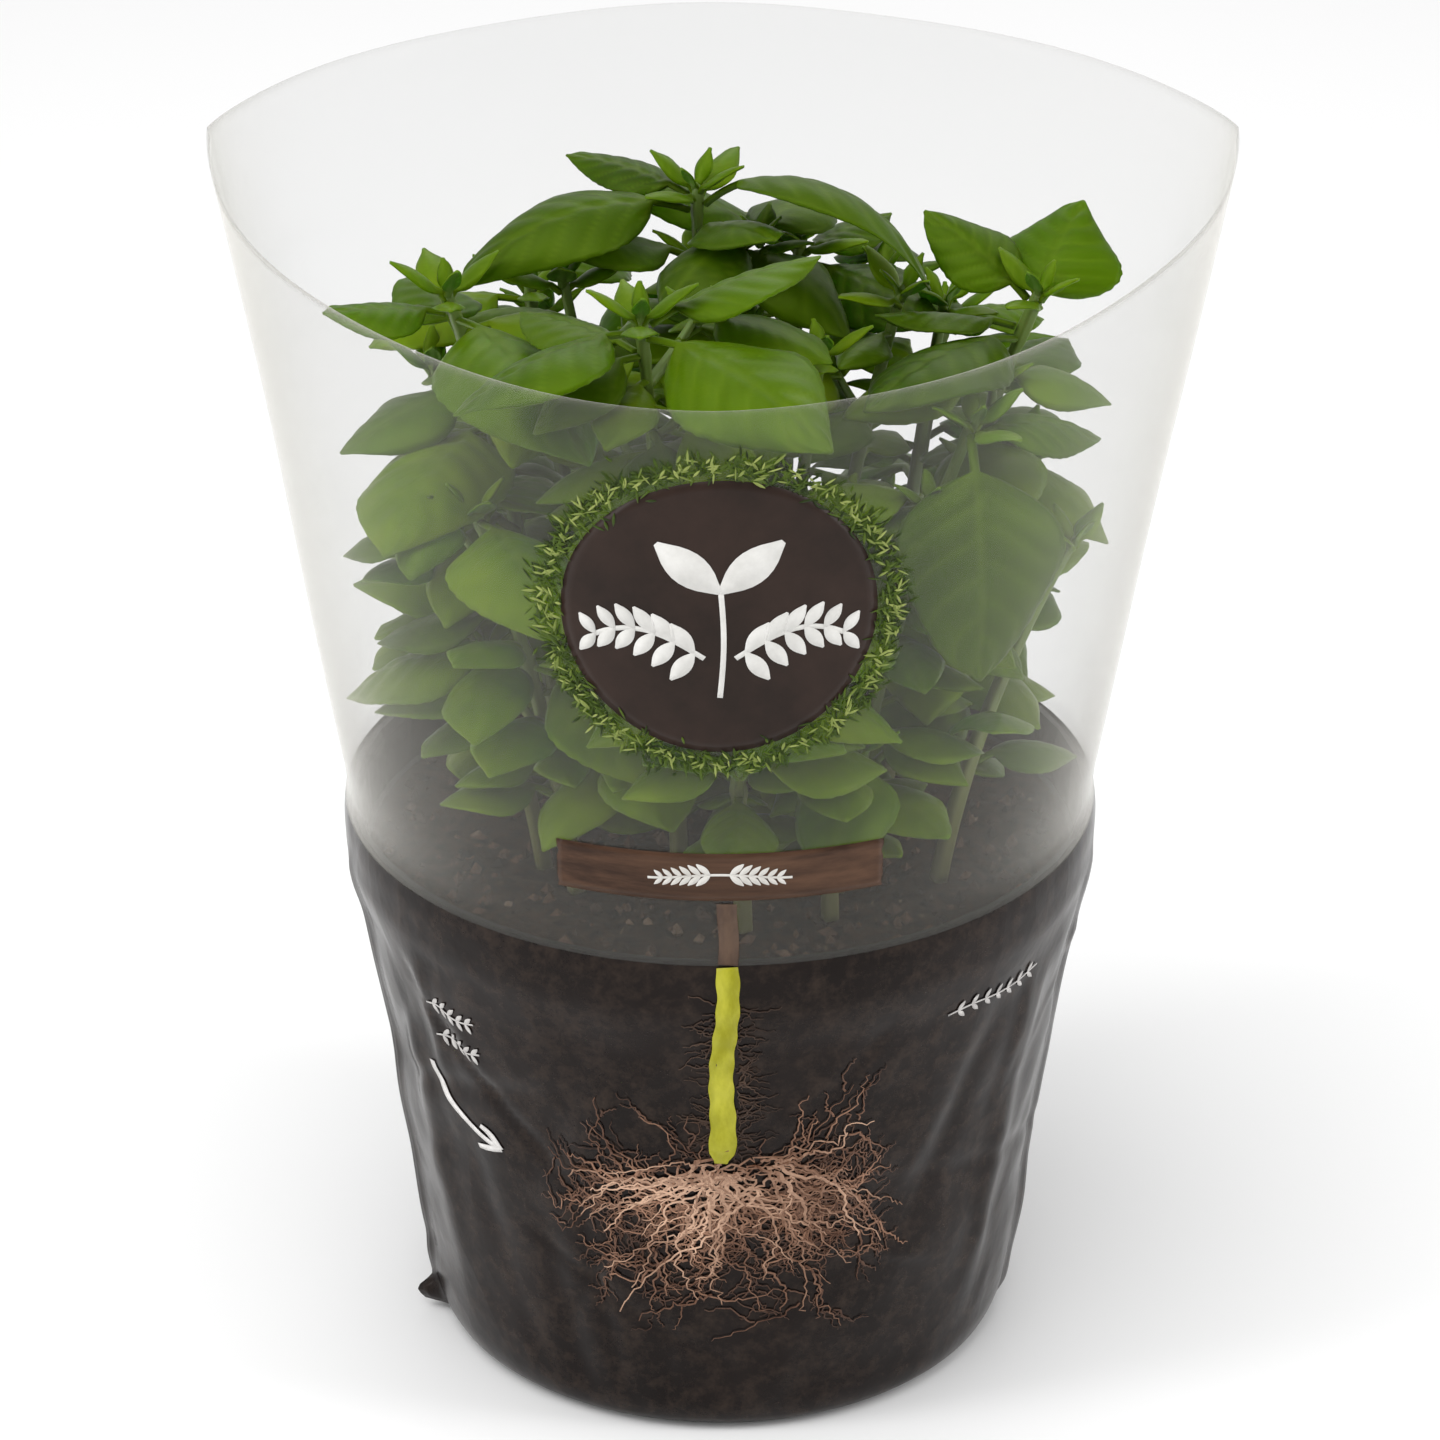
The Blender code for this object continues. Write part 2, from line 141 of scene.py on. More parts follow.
# Leaves: distance below the tip, bearing, rise, droop, length, width, roll; millimetres and degrees.
PETIOLE_SHARE = 0.16
LEAF_CUP = 0.75
VEIN_PAIRS = 6.0
LEAVES = {
    "front": (
        (4, -46, 11, 40, 56, 33, 14),
        (2, 20, 30, 30, 31, 20, -14),
        (3, -137, 12, 44, 36, 24, 16),
        (8, 137, 12, 26, 27, 18, 10),
        (30, -100, 5, 60, 40, 26, 0),
        (33, 60, 10, 40, 34, 22, 0),
    ),
    "left": (
        (4, -168, 16, 22, 21, 16, 0),
        (5, -62, 14, 46, 50, 31, -6),
        (9, 112, 22, 40, 26, 16, 0),
        (26, -95, -10, 60, 42, 27, 0),
        (32, 150, 4, 50, 24, 18, 0),
    ),
    "top": (
        (3, -24, 46, 116, 51, 21, -24),
        (4, -156, 26, 72, 46, 20, -14),
        (2, 150, 22, 32, 25, 12, -8),
        (28, -80, 18, 56, 38, 25, 0),
        (30, 100, 15, 50, 36, 24, 0),
    ),
    "right": (
        (2, 145, 40, 24, 24, 15, -20),
        (7, 176, 16, 26, 24, 19, 24),
        (5, 62, 52, 34, 24, 23, 8),
        (9, -132, 22, 46, 40, 26, 8),
        (36, -90, 5, 55, 30, 24, 0),
        (38, 80, 10, 50, 34, 22, 0),
    ),
    "back": (
        (1, 172, 32, 24, 40, 17, 0),
        (3, 40, 20, 26, 20, 13, 0),
        (4, -38, 6, 30, 30, 19, 12),
        (30, 95, 15, 50, 38, 25, 0),
    ),
    "front_right": (
        (2, -84, 2, 78, 44, 30, 0),
        (3, 20, 20, 60, 24, 18, 0),
        (34, -40, 5, 50, 36, 25, 0),
        (36, -130, 5, 60, 38, 26, 0),
    ),
    "front_left": (
        (2, -110, 15, 60, 34, 24, 0),
        (3, 70, 15, 50, 30, 20, 0),
        (30, -150, 8, 60, 34, 24, 0),
        (32, -40, 5, 55, 36, 24, 0),
    ),
    "low_front": (
        (1, -140, 20, 60, 28, 18, 0),
        (2, -20, 20, 60, 30, 19, 0),
        (24, -90, 5, 50, 20, 14, 0),
    ),
    "back_left": (
        (2, 100, 20, 60, 38, 26, 0),
        (3, -160, 20, 60, 30, 22, 0),
        (32, 170, 5, 50, 34, 24, 0),
        (34, -30, 15, 50, 26, 18, 0),
    ),
    "back_right": (
        (2, 30, 20, 60, 32, 23, 0),
        (3, 115, 20, 60, 36, 24, 0),
        (32, 60, 5, 50, 34, 24, 0),
        (34, -150, 15, 50, 26, 18, 0),
    ),
}
# How a leaf may have been turned, lifted and shrunk to clear its neighbours.
TURNS = (0, 9, -9, 18, -18, 30, -30, 44, -44, 60, -60)
LIFTS = (0, 9, -9, 18, -18, 30, -30)
SIZES = (1.0, 0.9, 0.78, 0.64)

# Print on the sleeve's front.
BADGE_HEIGHT = 171.5
BADGE_RADIUS = 25.6
WREATH_RADIUS = 28.3
BANNER_HEIGHT = 121.0
BANNER_SIZE = (54.0, 9.4)
CROWN_HEIGHT = 62.0


# ---- mesh and node helpers ------------------------------------------------------------------------------


def add_piece(name, points, faces, finishes, attributes=None, smooth=True, face_finish=None):
    """A mesh object at the origin from points in millimetres, with float attributes on its points."""
    mesh = bpy.data.meshes.new(name)
    faces = faces.tolist() if isinstance(faces, np.ndarray) else faces
    mesh.from_pydata((np.asarray(points) * MM).tolist(), [], faces)
    for finish in finishes if isinstance(finishes, (list, tuple)) else (finishes,):
        mesh.materials.append(finish)
    for key, values in (attributes or {}).items():
        layer = mesh.attributes.new(key, "FLOAT", "POINT")
        layer.data.foreach_set("value", np.ascontiguousarray(values, dtype=np.float32))
    if face_finish is not None:
        mesh.polygons.foreach_set("material_index", np.asarray(face_finish, dtype=np.int32))
    mesh.polygons.foreach_set("use_smooth", np.full(len(mesh.polygons), smooth))
    mesh.update()
    piece = bpy.data.objects.new(name, mesh)
    bpy.context.scene.collection.objects.link(piece)
    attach(piece, "root")
    return piece


def thicken(piece, thickness, offset):
    """A wall of the given thickness, grown inwards for an offset of -1 and outwards for 1."""
    wall = piece.modifiers.new("thickness", "SOLIDIFY")
    wall.thickness = thickness * MM
    wall.offset = offset
    wall.use_rim = True


def grid_faces(rows, columns, closed=False):
    """The quads of a grid of points in order along its rows, joined last column to first where closed."""
    corner = np.arange(rows * columns).reshape(rows, columns)
    if closed:
        corner = np.hstack([corner, corner[:, :1]])
    quads = np.stack([corner[:-1, :-1], corner[:-1, 1:], corner[1:, 1:], corner[1:, :-1]], axis=-1)
    return quads.reshape(-1, 4)


def smooth_step(low, high, value):
    """From 0 at low to 1 at high, level at both ends: three times the square less twice the cube."""
    t = np.clip((value - low) / (high - low), 0, 1)
    return t * t * (3 - 2 * t)


def value_noise(x, y, size, seed):
    """Noise from -1 to 1: random heights on a square lattice of the given size, blended smoothly between."""
    lattice = np.random.default_rng(seed).uniform(-1, 1, (64, 64))
    u = np.asarray(x) / size
    v = np.asarray(y) / size
    i = np.floor(u).astype(int)
    j = np.floor(v).astype(int)
    a = smooth_step(0, 1, u - i)
    b = smooth_step(0, 1, v - j)
    i0, i1, j0, j1 = i % 64, (i + 1) % 64, j % 64, (j + 1) % 64
    low = lattice[i0, j0] * (1 - a) + lattice[i1, j0] * a
    high = lattice[i0, j1] * (1 - a) + lattice[i1, j1] * a
    return low * (1 - b) + high * b


class Finish:
    """A node material being built, with one method for each kind of node that the finishes use."""

    def __init__(self, name):
        self.material = bpy.data.materials.new(name)
        self.material.use_nodes = True
        self.nodes = self.material.node_tree.nodes
        self.links = self.material.node_tree.links
        self.shader = self.nodes["Principled BSDF"]
        self.output = self.nodes["Material Output"]

    def link(self, source, target):
        self.links.new(source, target)

    def attribute(self, name):
        node = self.nodes.new("ShaderNodeAttribute")
        node.attribute_name = name
        return node.outputs["Fac"]

    def place(self, scale=(1, 1, 1)):
        """Object coordinates in metres, stretched along each axis."""
        where = self.nodes.new("ShaderNodeTexCoord")
        mapping = self.nodes.new("ShaderNodeMapping")
        mapping.inputs["Scale"].default_value = scale
        self.link(where.outputs["Object"], mapping.inputs["Vector"])
        return mapping.outputs["Vector"]

    def noise(self, per_metre, detail=4.0, stretch=(1, 1, 1), rough=0.5):
        node = self.nodes.new("ShaderNodeTexNoise")
        node.inputs["Scale"].default_value = per_metre
        node.inputs["Detail"].default_value = detail
        node.inputs["Roughness"].default_value = rough
        self.link(self.place(stretch), node.inputs["Vector"])
        return node.outputs["Fac"]

    def creases(self, per_metre):
        """Flat facets between sharp creases, as crumpled film has: the distance to the nearest of random
        points."""
        node = self.nodes.new("ShaderNodeTexVoronoi")
        node.inputs["Scale"].default_value = per_metre
        node.inputs["Randomness"].default_value = 1.0
        self.link(self.place((1, 1, 0.7)), node.inputs["Vector"])
        return node.outputs["Distance"]

    def ramp(self, value, low, high, start=0.0, end=1.0):
        """A value carried from the range low..high to start..end, and held there outside it."""
        node = self.nodes.new("ShaderNodeMapRange")
        for name, number in (("From Min", low), ("From Max", high), ("To Min", start), ("To Max", end)):
            node.inputs[name].default_value = number
        self.link(value, node.inputs["Value"])
        return node.outputs["Result"]

    def math(self, operation, first, second):
        node = self.nodes.new("ShaderNodeMath")
        node.operation = operation
        for socket, value in zip(node.inputs, (first, second)):
            if isinstance(value, (int, float)):
                socket.default_value = value
            else:
                self.link(value, socket)
        return node.outputs[0]

    def mix(self, factor, first, second):
        """Two colours, each a tuple or a socket, mixed by a socket or a number."""
        node = self.nodes.new("ShaderNodeMix")
        node.data_type = "RGBA"
        for socket, value in ((node.inputs[0], factor), (node.inputs[6], first), (node.inputs[7], second)):
            if isinstance(value, tuple):
                socket.default_value = (*value, 1.0)
            elif isinstance(value, (int, float)):
                socket.default_value = value
            else:
                self.link(value, socket)
        return node.outputs[2]

    def bump(self, height, millimetres, strength=1.0):
        node = self.nodes.new("ShaderNodeBump")
        node.inputs["Strength"].default_value = strength
        node.inputs["Distance"].default_value = millimetres * MM
        self.link(height, node.inputs["Height"])
        self.link(node.outputs["Normal"], self.shader.inputs["Normal"])

    def set(self, **values):
        """Constants on the shader's own sockets."""
        for name, value in values.items():
            socket = self.shader.inputs[name.replace("_", " ")]
            socket.default_value = value


# ---- finishes -------------------------------------------------------------------------------------------


def leaf_finish():
    """Green that varies from leaf to leaf and over the blade, paler along the veins and greyer underneath.
    The tone's bright end also carries painted light, lifted onto leaves low in the sleeve.
    """
    f = Finish("basil_leaf")
    patch = f.ramp(f.noise(90, 3), 0.3, 0.7)
    tone = f.math("ADD", f.math("MULTIPLY", f.attribute("tone"), 0.8), f.math("MULTIPLY", patch, 0.2))
    grown = f.mix(f.ramp(tone, 0.0, 0.8), (0.011, 0.025, 0.001), (0.062, 0.116, 0.001))
    blade = f.mix(f.ramp(tone, 0.8, 1.0), grown, (0.135, 0.205, 0.004))
    veined = f.mix(f.math("MULTIPLY", f.attribute("vein"), 0.21), blade, (0.14, 0.22, 0.012))
    under = f.mix(f.attribute("vein"), (0.070, 0.125, 0.018), (0.12, 0.19, 0.04))
    colour = f.mix(f.attribute("under"), veined, under)
    f.link(colour, f.shader.inputs["Base Color"])
    f.link(f.ramp(f.attribute("under"), 0, 1, 0.38, 0.62), f.shader.inputs["Roughness"])
    f.bump(f.noise(1500, 3), 0.12, 0.3)
    f.set(Subsurface_Weight=0.22, Subsurface_Scale=0.003, Subsurface_Radius=(0.5, 1.0, 0.15))
    f.set(Specular_IOR_Level=0.24, Specular_Tint=(0.7, 1.0, 0.15, 1))
    return f.material


def stem_finish():
    """Pale green, yellower low down, with fine lengthwise streaks."""
    f = Finish("basil_stem")
    streak = f.noise(260, 3, (1, 1, 0.08))
    green = f.mix(streak, (0.075, 0.135, 0.015), (0.16, 0.24, 0.04))
    low = f.mix(streak, (0.13, 0.14, 0.04), (0.24, 0.24, 0.09))
    height = f.nodes.new("ShaderNodeSeparateXYZ")
    f.link(f.place(), height.inputs["Vector"])
    f.link(f.mix(f.ramp(height.outputs["Z"], 0.10, 0.15), low, green), f.shader.inputs["Base Color"])
    f.bump(f.noise(2200, 2, (1, 1, 0.15)), 0.08, 0.5)
    f.set(Roughness=0.5, Subsurface_Weight=0.12, Subsurface_Scale=0.002)
    return f.material


def soil_finish():
    """Dark moist peat with browner and paler fibres."""
    f = Finish("peat_compost")
    crumb = f.ramp(f.noise(420, 8, rough=0.7), 0.32, 0.68)
    moist = f.mix(crumb, (0.008, 0.005, 0.003), (0.066, 0.033, 0.017))
    fibre = f.ramp(f.noise(900, 3, (1, 0.3, 1)), 0.66, 0.74)
    f.link(f.mix(f.math("MULTIPLY", fibre, 0.6), moist, (0.19, 0.13, 0.08)), f.shader.inputs["Base Color"])
    f.bump(f.noise(700, 8, rough=0.75), 1.2, 0.9)
    f.set(Roughness=0.92, Specular_IOR_Level=0.16)
    return f.material


def crumb_finish():
    """Crumbs from near-black peat, through bark brown, to a few white grains of perlite."""
    f = Finish("compost_crumbs")
    tone = f.attribute("tone")
    brown = f.mix(f.ramp(tone, 0, 0.9), (0.010, 0.006, 0.005), (0.13, 0.072, 0.045))
    colour = f.mix(f.ramp(tone, 0.96, 0.98), brown, (0.22, 0.15, 0.10))
    shade = f.ramp(f.noise(1600, 4), 0.3, 0.7, 0.7, 1.15)
    scaled = f.nodes.new("ShaderNodeVectorMath")
    scaled.operation = "SCALE"
    f.link(colour, scaled.inputs[0])
    f.link(shade, scaled.inputs["Scale"])
    f.link(scaled.outputs[0], f.shader.inputs["Base Color"])
    f.bump(f.noise(2400, 4), 0.3, 0.7)
    f.set(Roughness=0.9, Specular_IOR_Level=0.25)
    return f.material


def pot_finish():
    """Black recycled plastic with faint flow marks and a little dust."""
    f = Finish("black_pot_plastic")
    flow = f.noise(60, 4, (1, 1, 3))
    dust = f.math("MULTIPLY", f.ramp(f.noise(340, 6), 0.52, 0.75), 0.35)
    black = f.mix(flow, (0.009, 0.008, 0.008), (0.017, 0.015, 0.014))
    f.link(f.mix(dust, black, (0.06, 0.045, 0.035)), f.shader.inputs["Base Color"])
    f.link(f.ramp(f.noise(500, 3), 0.3, 0.7, 0.34, 0.5), f.shader.inputs["Roughness"])
    f.bump(f.noise(1300, 3), 0.08, 0.4)
    f.set(Specular_IOR_Level=0.4)
    return f.material


def clear_film_finish():
    """Clear film: most light goes straight through, a little is scattered as haze, and where the film is seen
    edge-on it turns mostly into its pale glossy shader: partly a real reflection, partly a painted sheen from
    the pale diffuse colour."""
    f = Finish("clear_film")
    facing = f.nodes.new("ShaderNodeLayerWeight")
    facing.inputs["Blend"].default_value = 0.5
    # Edge-on weight: the silhouettes turn pale, partly by real reflection and partly by painted sheen.
    edge = f.math("POWER", facing.outputs["Facing"], 4.0)
    haze = f.ramp(f.noise(14, 3), 0.3, 0.7, 0.031, 0.042)
    kept = f.math("ADD", f.math("MULTIPLY", edge, 0.75), haze)
    through = f.nodes.new("ShaderNodeBsdfTransparent")
    through.inputs["Color"].default_value = (0.952, 0.953, 0.954, 1)
    both = f.nodes.new("ShaderNodeMixShader")
    f.link(kept, both.inputs[0])
    f.link(through.outputs[0], both.inputs[1])
    f.link(f.shader.outputs[0], both.inputs[2])
    f.link(both.outputs[0], f.output.inputs["Surface"])
    grain = f.noise(30, 2)
    # The pale base colour is the film's milky haze, and at the edge-on silhouettes it is also a painted
    # sheen.
    f.link(f.mix(grain, (0.75, 0.725, 0.665), (0.81, 0.785, 0.725)), f.shader.inputs["Base Color"])
    f.bump(f.math("ADD", f.noise(16, 2), f.math("MULTIPLY", f.creases(24), 0.3)), 3.0, 0.3)
    f.set(Roughness=0.14, Specular_IOR_Level=0.6)
    return f.material


def printed_film_finish():
    """The film's dark print: near-black compost with faint brown crumbs, under a satin film gloss."""
    f = Finish("printed_film")
    crumb = f.ramp(f.noise(260, 10, rough=0.75), 0.46, 0.66)
    patch = f.ramp(f.noise(45, 3), 0.35, 0.7)
    dark = f.mix(patch, (0.0040, 0.0028, 0.0027), (0.0085, 0.0060, 0.0056))
    speckled = f.mix(f.math("MULTIPLY", crumb, 0.6), dark, (0.040, 0.027, 0.020))
    f.link(speckled, f.shader.inputs["Base Color"])
    f.link(f.ramp(f.noise(80, 4), 0.3, 0.7, 0.16, 0.27), f.shader.inputs["Roughness"])
    large = f.math("MULTIPLY", f.creases(38), 1.0)
    small = f.math("MULTIPLY", f.creases(110), 0.3)
    crinkle = f.math("MULTIPLY", f.noise(130, 4), 0.3)
    f.bump(f.math("ADD", f.math("ADD", large, small), crinkle), 1.6, 0.35)
    f.set(Specular_IOR_Level=0.16, Specular_Tint=(1.0, 0.86, 0.80, 1))
    return f.material


def ink_finish(name, first, second, per_metre=300, stretch=(1, 1, 1), key=None, rough=0.3):
    """Printed ink between two colours, by noise or by an attribute of the print's own strokes."""
    f = Finish(name)
    noise = f.ramp(f.noise(per_metre, 6, stretch, 0.65), 0.35, 0.65)
    if key:
        own = f.attribute(key)
        noise = f.math("ADD", f.math("MULTIPLY", own, 0.8), f.math("MULTIPLY", noise, 0.2))
    f.link(f.mix(noise, first, second), f.shader.inputs["Base Color"])
    f.bump(f.noise(800, 3), 0.05, 0.2)
    f.set(Roughness=rough, Specular_IOR_Level=0.16)
    return f.material


# ---- film surface ---------------------------------------------------------------------------------------


def film_radius(height):
    """The sleeve's radius below its cone: the profile's straight runs, softened over 3 mm of height."""
    points = np.array(FILM_PROFILE)
    taps = np.linspace(-1.5, 1.5, 7)
    height = np.asarray(height, float)
    spread = np.minimum(height, 3.0)[..., None] / 3.0
    samples = np.interp(height[..., None] + taps * spread, points[:, 0], points[:, 1])
    return samples.mean(axis=-1)


def mouth_height(angle):
    """The film's top edge: a parabola over the front, and nearly level round the back, meeting at the
    corners."""
    degrees = np.degrees(angle) % 360
    forward = np.clip(np.abs(degrees - 270) / 90, 0, 1)
    backward = np.clip(np.abs(degrees - 90) / 90, 0, 1)
    front = MOUTH_FRONT + (MOUTH_CORNER - MOUTH_FRONT) * forward**2
    back = MOUTH_BACK + (MOUTH_CORNER - MOUTH_BACK) * backward**4
    return np.where(degrees > 180, front, back)


def cone_section(share):
    """Half width, half depth and superellipse power of the cone's section, a share of the way up to its
    mouth."""
    half_width = CONE_RADIUS + (MOUTH_HALF_WIDTH - CONE_RADIUS) * share
    half_depth = CONE_RADIUS + (MOUTH_HALF_DEPTH - CONE_RADIUS) * share
    return half_width, half_depth, 2 + (MOUTH_POWER - 2) * share


def folds():
    """Seeded folds of the printed film, each a line with a place, a direction, a length, a width and a depth.
    Six tall ones are listed, each at an angle and a height."""
    rng = np.random.default_rng(12)
    count = 84
    place = np.column_stack([rng.uniform(-math.pi, math.pi, count), rng.uniform(8, 88, count)])
    lean = rng.normal(0, 0.6, count)
    length = rng.uniform(7, 26, count)
    width = rng.uniform(0.9, 3.2, count)
    depth = rng.normal(0, 0.5, count)
    tall = np.array(
        [
            (-2.62, 50, -0.10, 26, 4.2, 0.8),
            (-2.36, 36, -0.20, 22, 3.4, -0.5),
            (-0.56, 48, 0.12, 30, 3.6, 0.9),
            (-0.82, 62, 0.34, 22, 3.0, -0.6),
            (0.9, 50, 0.1, 30, 3.8, 0.8),
            (2.2, 50, -0.1, 30, 3.8, 0.8),
        ]
    )
    place = np.vstack([place, tall[:, :2]])
    lean, length, width, depth = (
        np.concatenate(pair) for pair in zip((lean, length, width, depth), tall[:, 2:].T)
    )
    return place, lean, length, width, depth


def arc_from(angle, at, radius):
    """The length round a circle from one angle to others, at most half a turn either way."""
    return ((angle - at + math.pi) % (2 * math.pi) - math.pi) * radius


def crumple(points):
    """Moves film points in or out: fading folds on the printed part, a seam down each side that ends in an
    ear at the lower left, and slow waves on the clear part that grow towards the mouth."""
    points = np.array(points, float)
    angle = np.arctan2(points[..., 1], points[..., 0])
    height = points[..., 2]
    reach = np.hypot(points[..., 0], points[..., 1])
    loose = smooth_step(3, 14, height) * smooth_step(93, 84, height)
    move = np.zeros_like(height)
    for (at, up), lean, length, width, depth in zip(*folds()):
        side = arc_from(angle, at, FOLD_RADIUS)
        rise = height - up
        along = rise * math.cos(lean) + side * math.sin(lean)
        across = side * math.cos(lean) - rise * math.sin(lean)
        move += depth * np.exp(-((across / width) ** 2) - (along / length) ** 4)
    move += 0.5 * value_noise(angle * FOLD_RADIUS + 500, height + 200, 13, 5)
    move *= loose
    for at in (EAR_ANGLE, SEAM_ANGLE):
        side = arc_from(angle, at, FOLD_RADIUS)
        seam = smooth_step(99, 88, height) * smooth_step(0, 4, height)
        move += 0.9 * np.exp(-((side / 1.5) ** 2)) * seam
    side = arc_from(angle, EAR_ANGLE, EAR_RADIUS)
    ear = np.clip(1 - np.abs(side) / 3.2, 0, 1)
    ear = ear * smooth_step(0.4, 2.0, height) * smooth_step(7.5, 4.0, height)
    move += 3.6 * ear
    clear = smooth_step(118, 190, height)
    move += clear * (0.55 * np.sin(3 * angle + 0.7) + 0.35 * np.sin(7 * angle + height / 25))
    scale = np.where(reach > 1, (reach + move) / np.maximum(reach, 1), 1.0)
    points[..., 0] *= scale
    points[..., 1] *= scale
    return points


def film_rows():
    """The film as rings of points: rings across the flat bottom, up the printed part, and up the cone."""
    angle = np.arange(FILM_COLUMNS) * 2 * math.pi / FILM_COLUMNS
    rings = []
    for radius in (12, 24, 36, 44, 47):
        rings.append((radius * np.cos(angle), radius * np.sin(angle), np.zeros_like(angle)))
    bottom, printed = np.linspace(0, 8, 9), np.linspace(9.3, PRINT_TOP, 74)
    rim = np.linspace(105.2, CONE_START, 5)
    for height in np.concatenate([bottom, printed, rim]):
        radius = film_radius(height)
        rings.append((radius * np.cos(angle), radius * np.sin(angle), np.full_like(angle, height)))
    for share in np.linspace(0, 1, 42)[1:]:
        half_width, half_depth, power = cone_section(share)
        x = half_width * np.sign(np.cos(angle)) * np.abs(np.cos(angle)) ** (2 / power)
        y = half_depth * np.sign(np.sin(angle)) * np.abs(np.sin(angle)) ** (2 / power)
        rings.append((x, y, CONE_START + (mouth_height(angle) - CONE_START) * share))
    return np.array(rings).transpose(0, 2, 1)


def make_sleeve(clear, printed):
    """The film's rings joined into one bag, its bottom closed, printed below the pot's rim and clear
    above."""
    rings = crumple(film_rows())
    rows, columns = rings.shape[:2]
    points = np.vstack([rings.reshape(-1, 3), [(0, 0, 0)]])
    middle = rows * columns
    first = np.arange(columns)
    centre = np.column_stack([np.full(columns, middle), np.roll(first, -1), first])
    quads = grid_faces(rows, columns, closed=True)
    heights = points[quads][..., 2].mean(axis=1)
    finish = np.concatenate([(heights < PRINT_TOP).astype(int), np.ones(columns, int)])
    faces = quads.tolist() + centre.tolist()
    piece = add_piece("film_sleeve", points, faces, (clear, printed), face_finish=finish)
    thicken(piece, FILM_THICKNESS, -1)
    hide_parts("sleeve")


def on_front(x, height, proud=0.1):
    """Points on the film's front at a sideways place and a height, standing proud of it. The section's power
    and half widths depend on the share of the way up, which depends on the angle, so it is refined in
    turns."""
    x = np.asarray(x, float)
    height = np.asarray(height, float)
    turn = x / CONE_RADIUS
    for _ in range(5):
        top = mouth_height(turn - math.pi / 2)
        share = np.clip((height - CONE_START) / (top - CONE_START), 0, 1)
        half_width, half_depth, power = cone_section(share)
        low = height < CONE_START
        radius = film_radius(np.minimum(height, CONE_START))
        half_width = np.where(low, radius, half_width)
        half_depth = np.where(low, radius, half_depth)
        sine = np.clip(np.abs(x) / half_width, 0, 1) ** (power / 2)
        turn = np.sign(x) * np.arcsin(sine)
    y = -half_depth * np.abs(np.cos(turn)) ** (2 / power)
    points = crumple(np.stack([x, y, height], axis=-1))
    reach = np.hypot(points[..., 0], points[..., 1])[..., None]
    points[..., :2] *= (reach + proud) / reach
    return points


def front_print(name, shape, finish, proud=0.1, attributes=None):
    """A printed shape: flat points and faces laid on the film's front and given the ink's thin body."""
    flat, faces = shape
    points = on_front(flat[:, 0], flat[:, 1], proud)
    piece = add_piece(name, points, faces, finish, attributes)
    thicken(piece, INK_THICKNESS, 1)


# ---- printed shapes -------------------------------------------------------------------------------------


def flat_points(x, height):
    """A grid's sideways places and heights as a plain list of points."""
    return np.column_stack([np.ravel(x), np.ravel(height)])


def ribbons(paths, widths):
    """Flat ribbons along paths of (x, height) points, as one set of points and faces with two edges a path.
    Each edge is the path moved sideways by half of its width, square to its own direction."""
    paths = np.asarray(paths, float)
    ahead = np.gradient(paths, axis=1)
    ahead /= np.linalg.norm(ahead, axis=-1, keepdims=True) + 1e-9
    side = np.stack([-ahead[..., 1], ahead[..., 0]], axis=-1) * np.asarray(widths)[..., None] / 2
    points = np.stack([paths - side, paths + side], axis=2)
    count, steps = paths.shape[:2]
    one = grid_faces(steps, 2)
    faces = (one[None] + np.arange(count)[:, None, None] * steps * 2).reshape(-1, 4)
    return points.reshape(-1, 2), faces[:, ::-1]


def leaf_shapes(feet, bearings, lengths, widths, steps=6, bend=0.0):
    """Small printed leaves: ribbons whose width swells from a point to the middle and back to a point."""
    t = np.linspace(0, 1, steps)
    turn = np.asarray(bearings)[:, None] + bend * (t - 0.5)[None]
    way = np.stack([np.cos(turn), np.sin(turn)], axis=-1)
    stride = np.asarray(lengths)[:, None, None] * way / (steps - 1)
    paths = np.asarray(feet)[:, None] + np.cumsum(stride, axis=1) - stride[:, :1]
    swell = np.sin(math.pi * np.clip(t, 0.03, 0.97)) ** 0.8
    return ribbons(paths, np.asarray(widths)[:, None] * swell[None])


def make_badge():
    """A dark round badge inside a wreath of grass-like blades, with a pale seedling and two sprays on it."""
    rings, spokes = 14, 96
    radius = np.linspace(0.02, 1, rings)[:, None] * BADGE_RADIUS
    angle = np.arange(spokes)[None] * 2 * math.pi / spokes
    x = radius * np.cos(angle)
    height = BADGE_HEIGHT + radius * np.sin(angle)
    hub = list(range(spokes - 1, -1, -1))
    disc = (flat_points(x, height), grid_faces(rings, spokes, closed=True).tolist() + [hub])
    brown = ink_finish("badge_brown_ink", (0.019, 0.011, 0.008), (0.034, 0.019, 0.014), 60, rough=0.32)
    front_print("badge_disc", disc, brown, 0.12)
    make_wreath()
    make_sprays()


def make_wreath():
    """Moss and grass in three layers round the badge: short fine blades that lean every way, with the darkest
    lying lowest and a few bright ones on top."""
    rng = np.random.default_rng(31)
    inks = (
        ("wreath_dark", 900, 0.14, 1.15, (0.013, 0.024, 0.003), (0.046, 0.078, 0.008)),
        ("wreath_mid", 800, 0.22, 1.0, (0.025, 0.049, 0.004), (0.082, 0.130, 0.011)),
        ("wreath_bright", 330, 0.30, 0.85, (0.085, 0.135, 0.012), (0.34, 0.39, 0.115)),
    )
    for name, count, proud, spread, dark, bright in inks:
        around = rng.uniform(0, 2 * math.pi, count)
        radius = WREATH_RADIUS - 0.5 + rng.normal(0, spread, count)
        feet = np.stack([radius * np.cos(around), BADGE_HEIGHT + radius * np.sin(around)], axis=-1)
        lean = around + rng.normal(0, 1.35, count)
        long = rng.uniform(0.9, 2.6, count)
        blades = leaf_shapes(feet, lean, long, rng.uniform(0.28, 0.55, count), 4)
        tone = np.repeat(rng.uniform(0, 1, count), len(blades[0]) // count)
        finish = ink_finish(f"{name}_ink", dark, bright, 900, key="tone")
        front_print(name, blades, finish, proud, {"tone": tone})


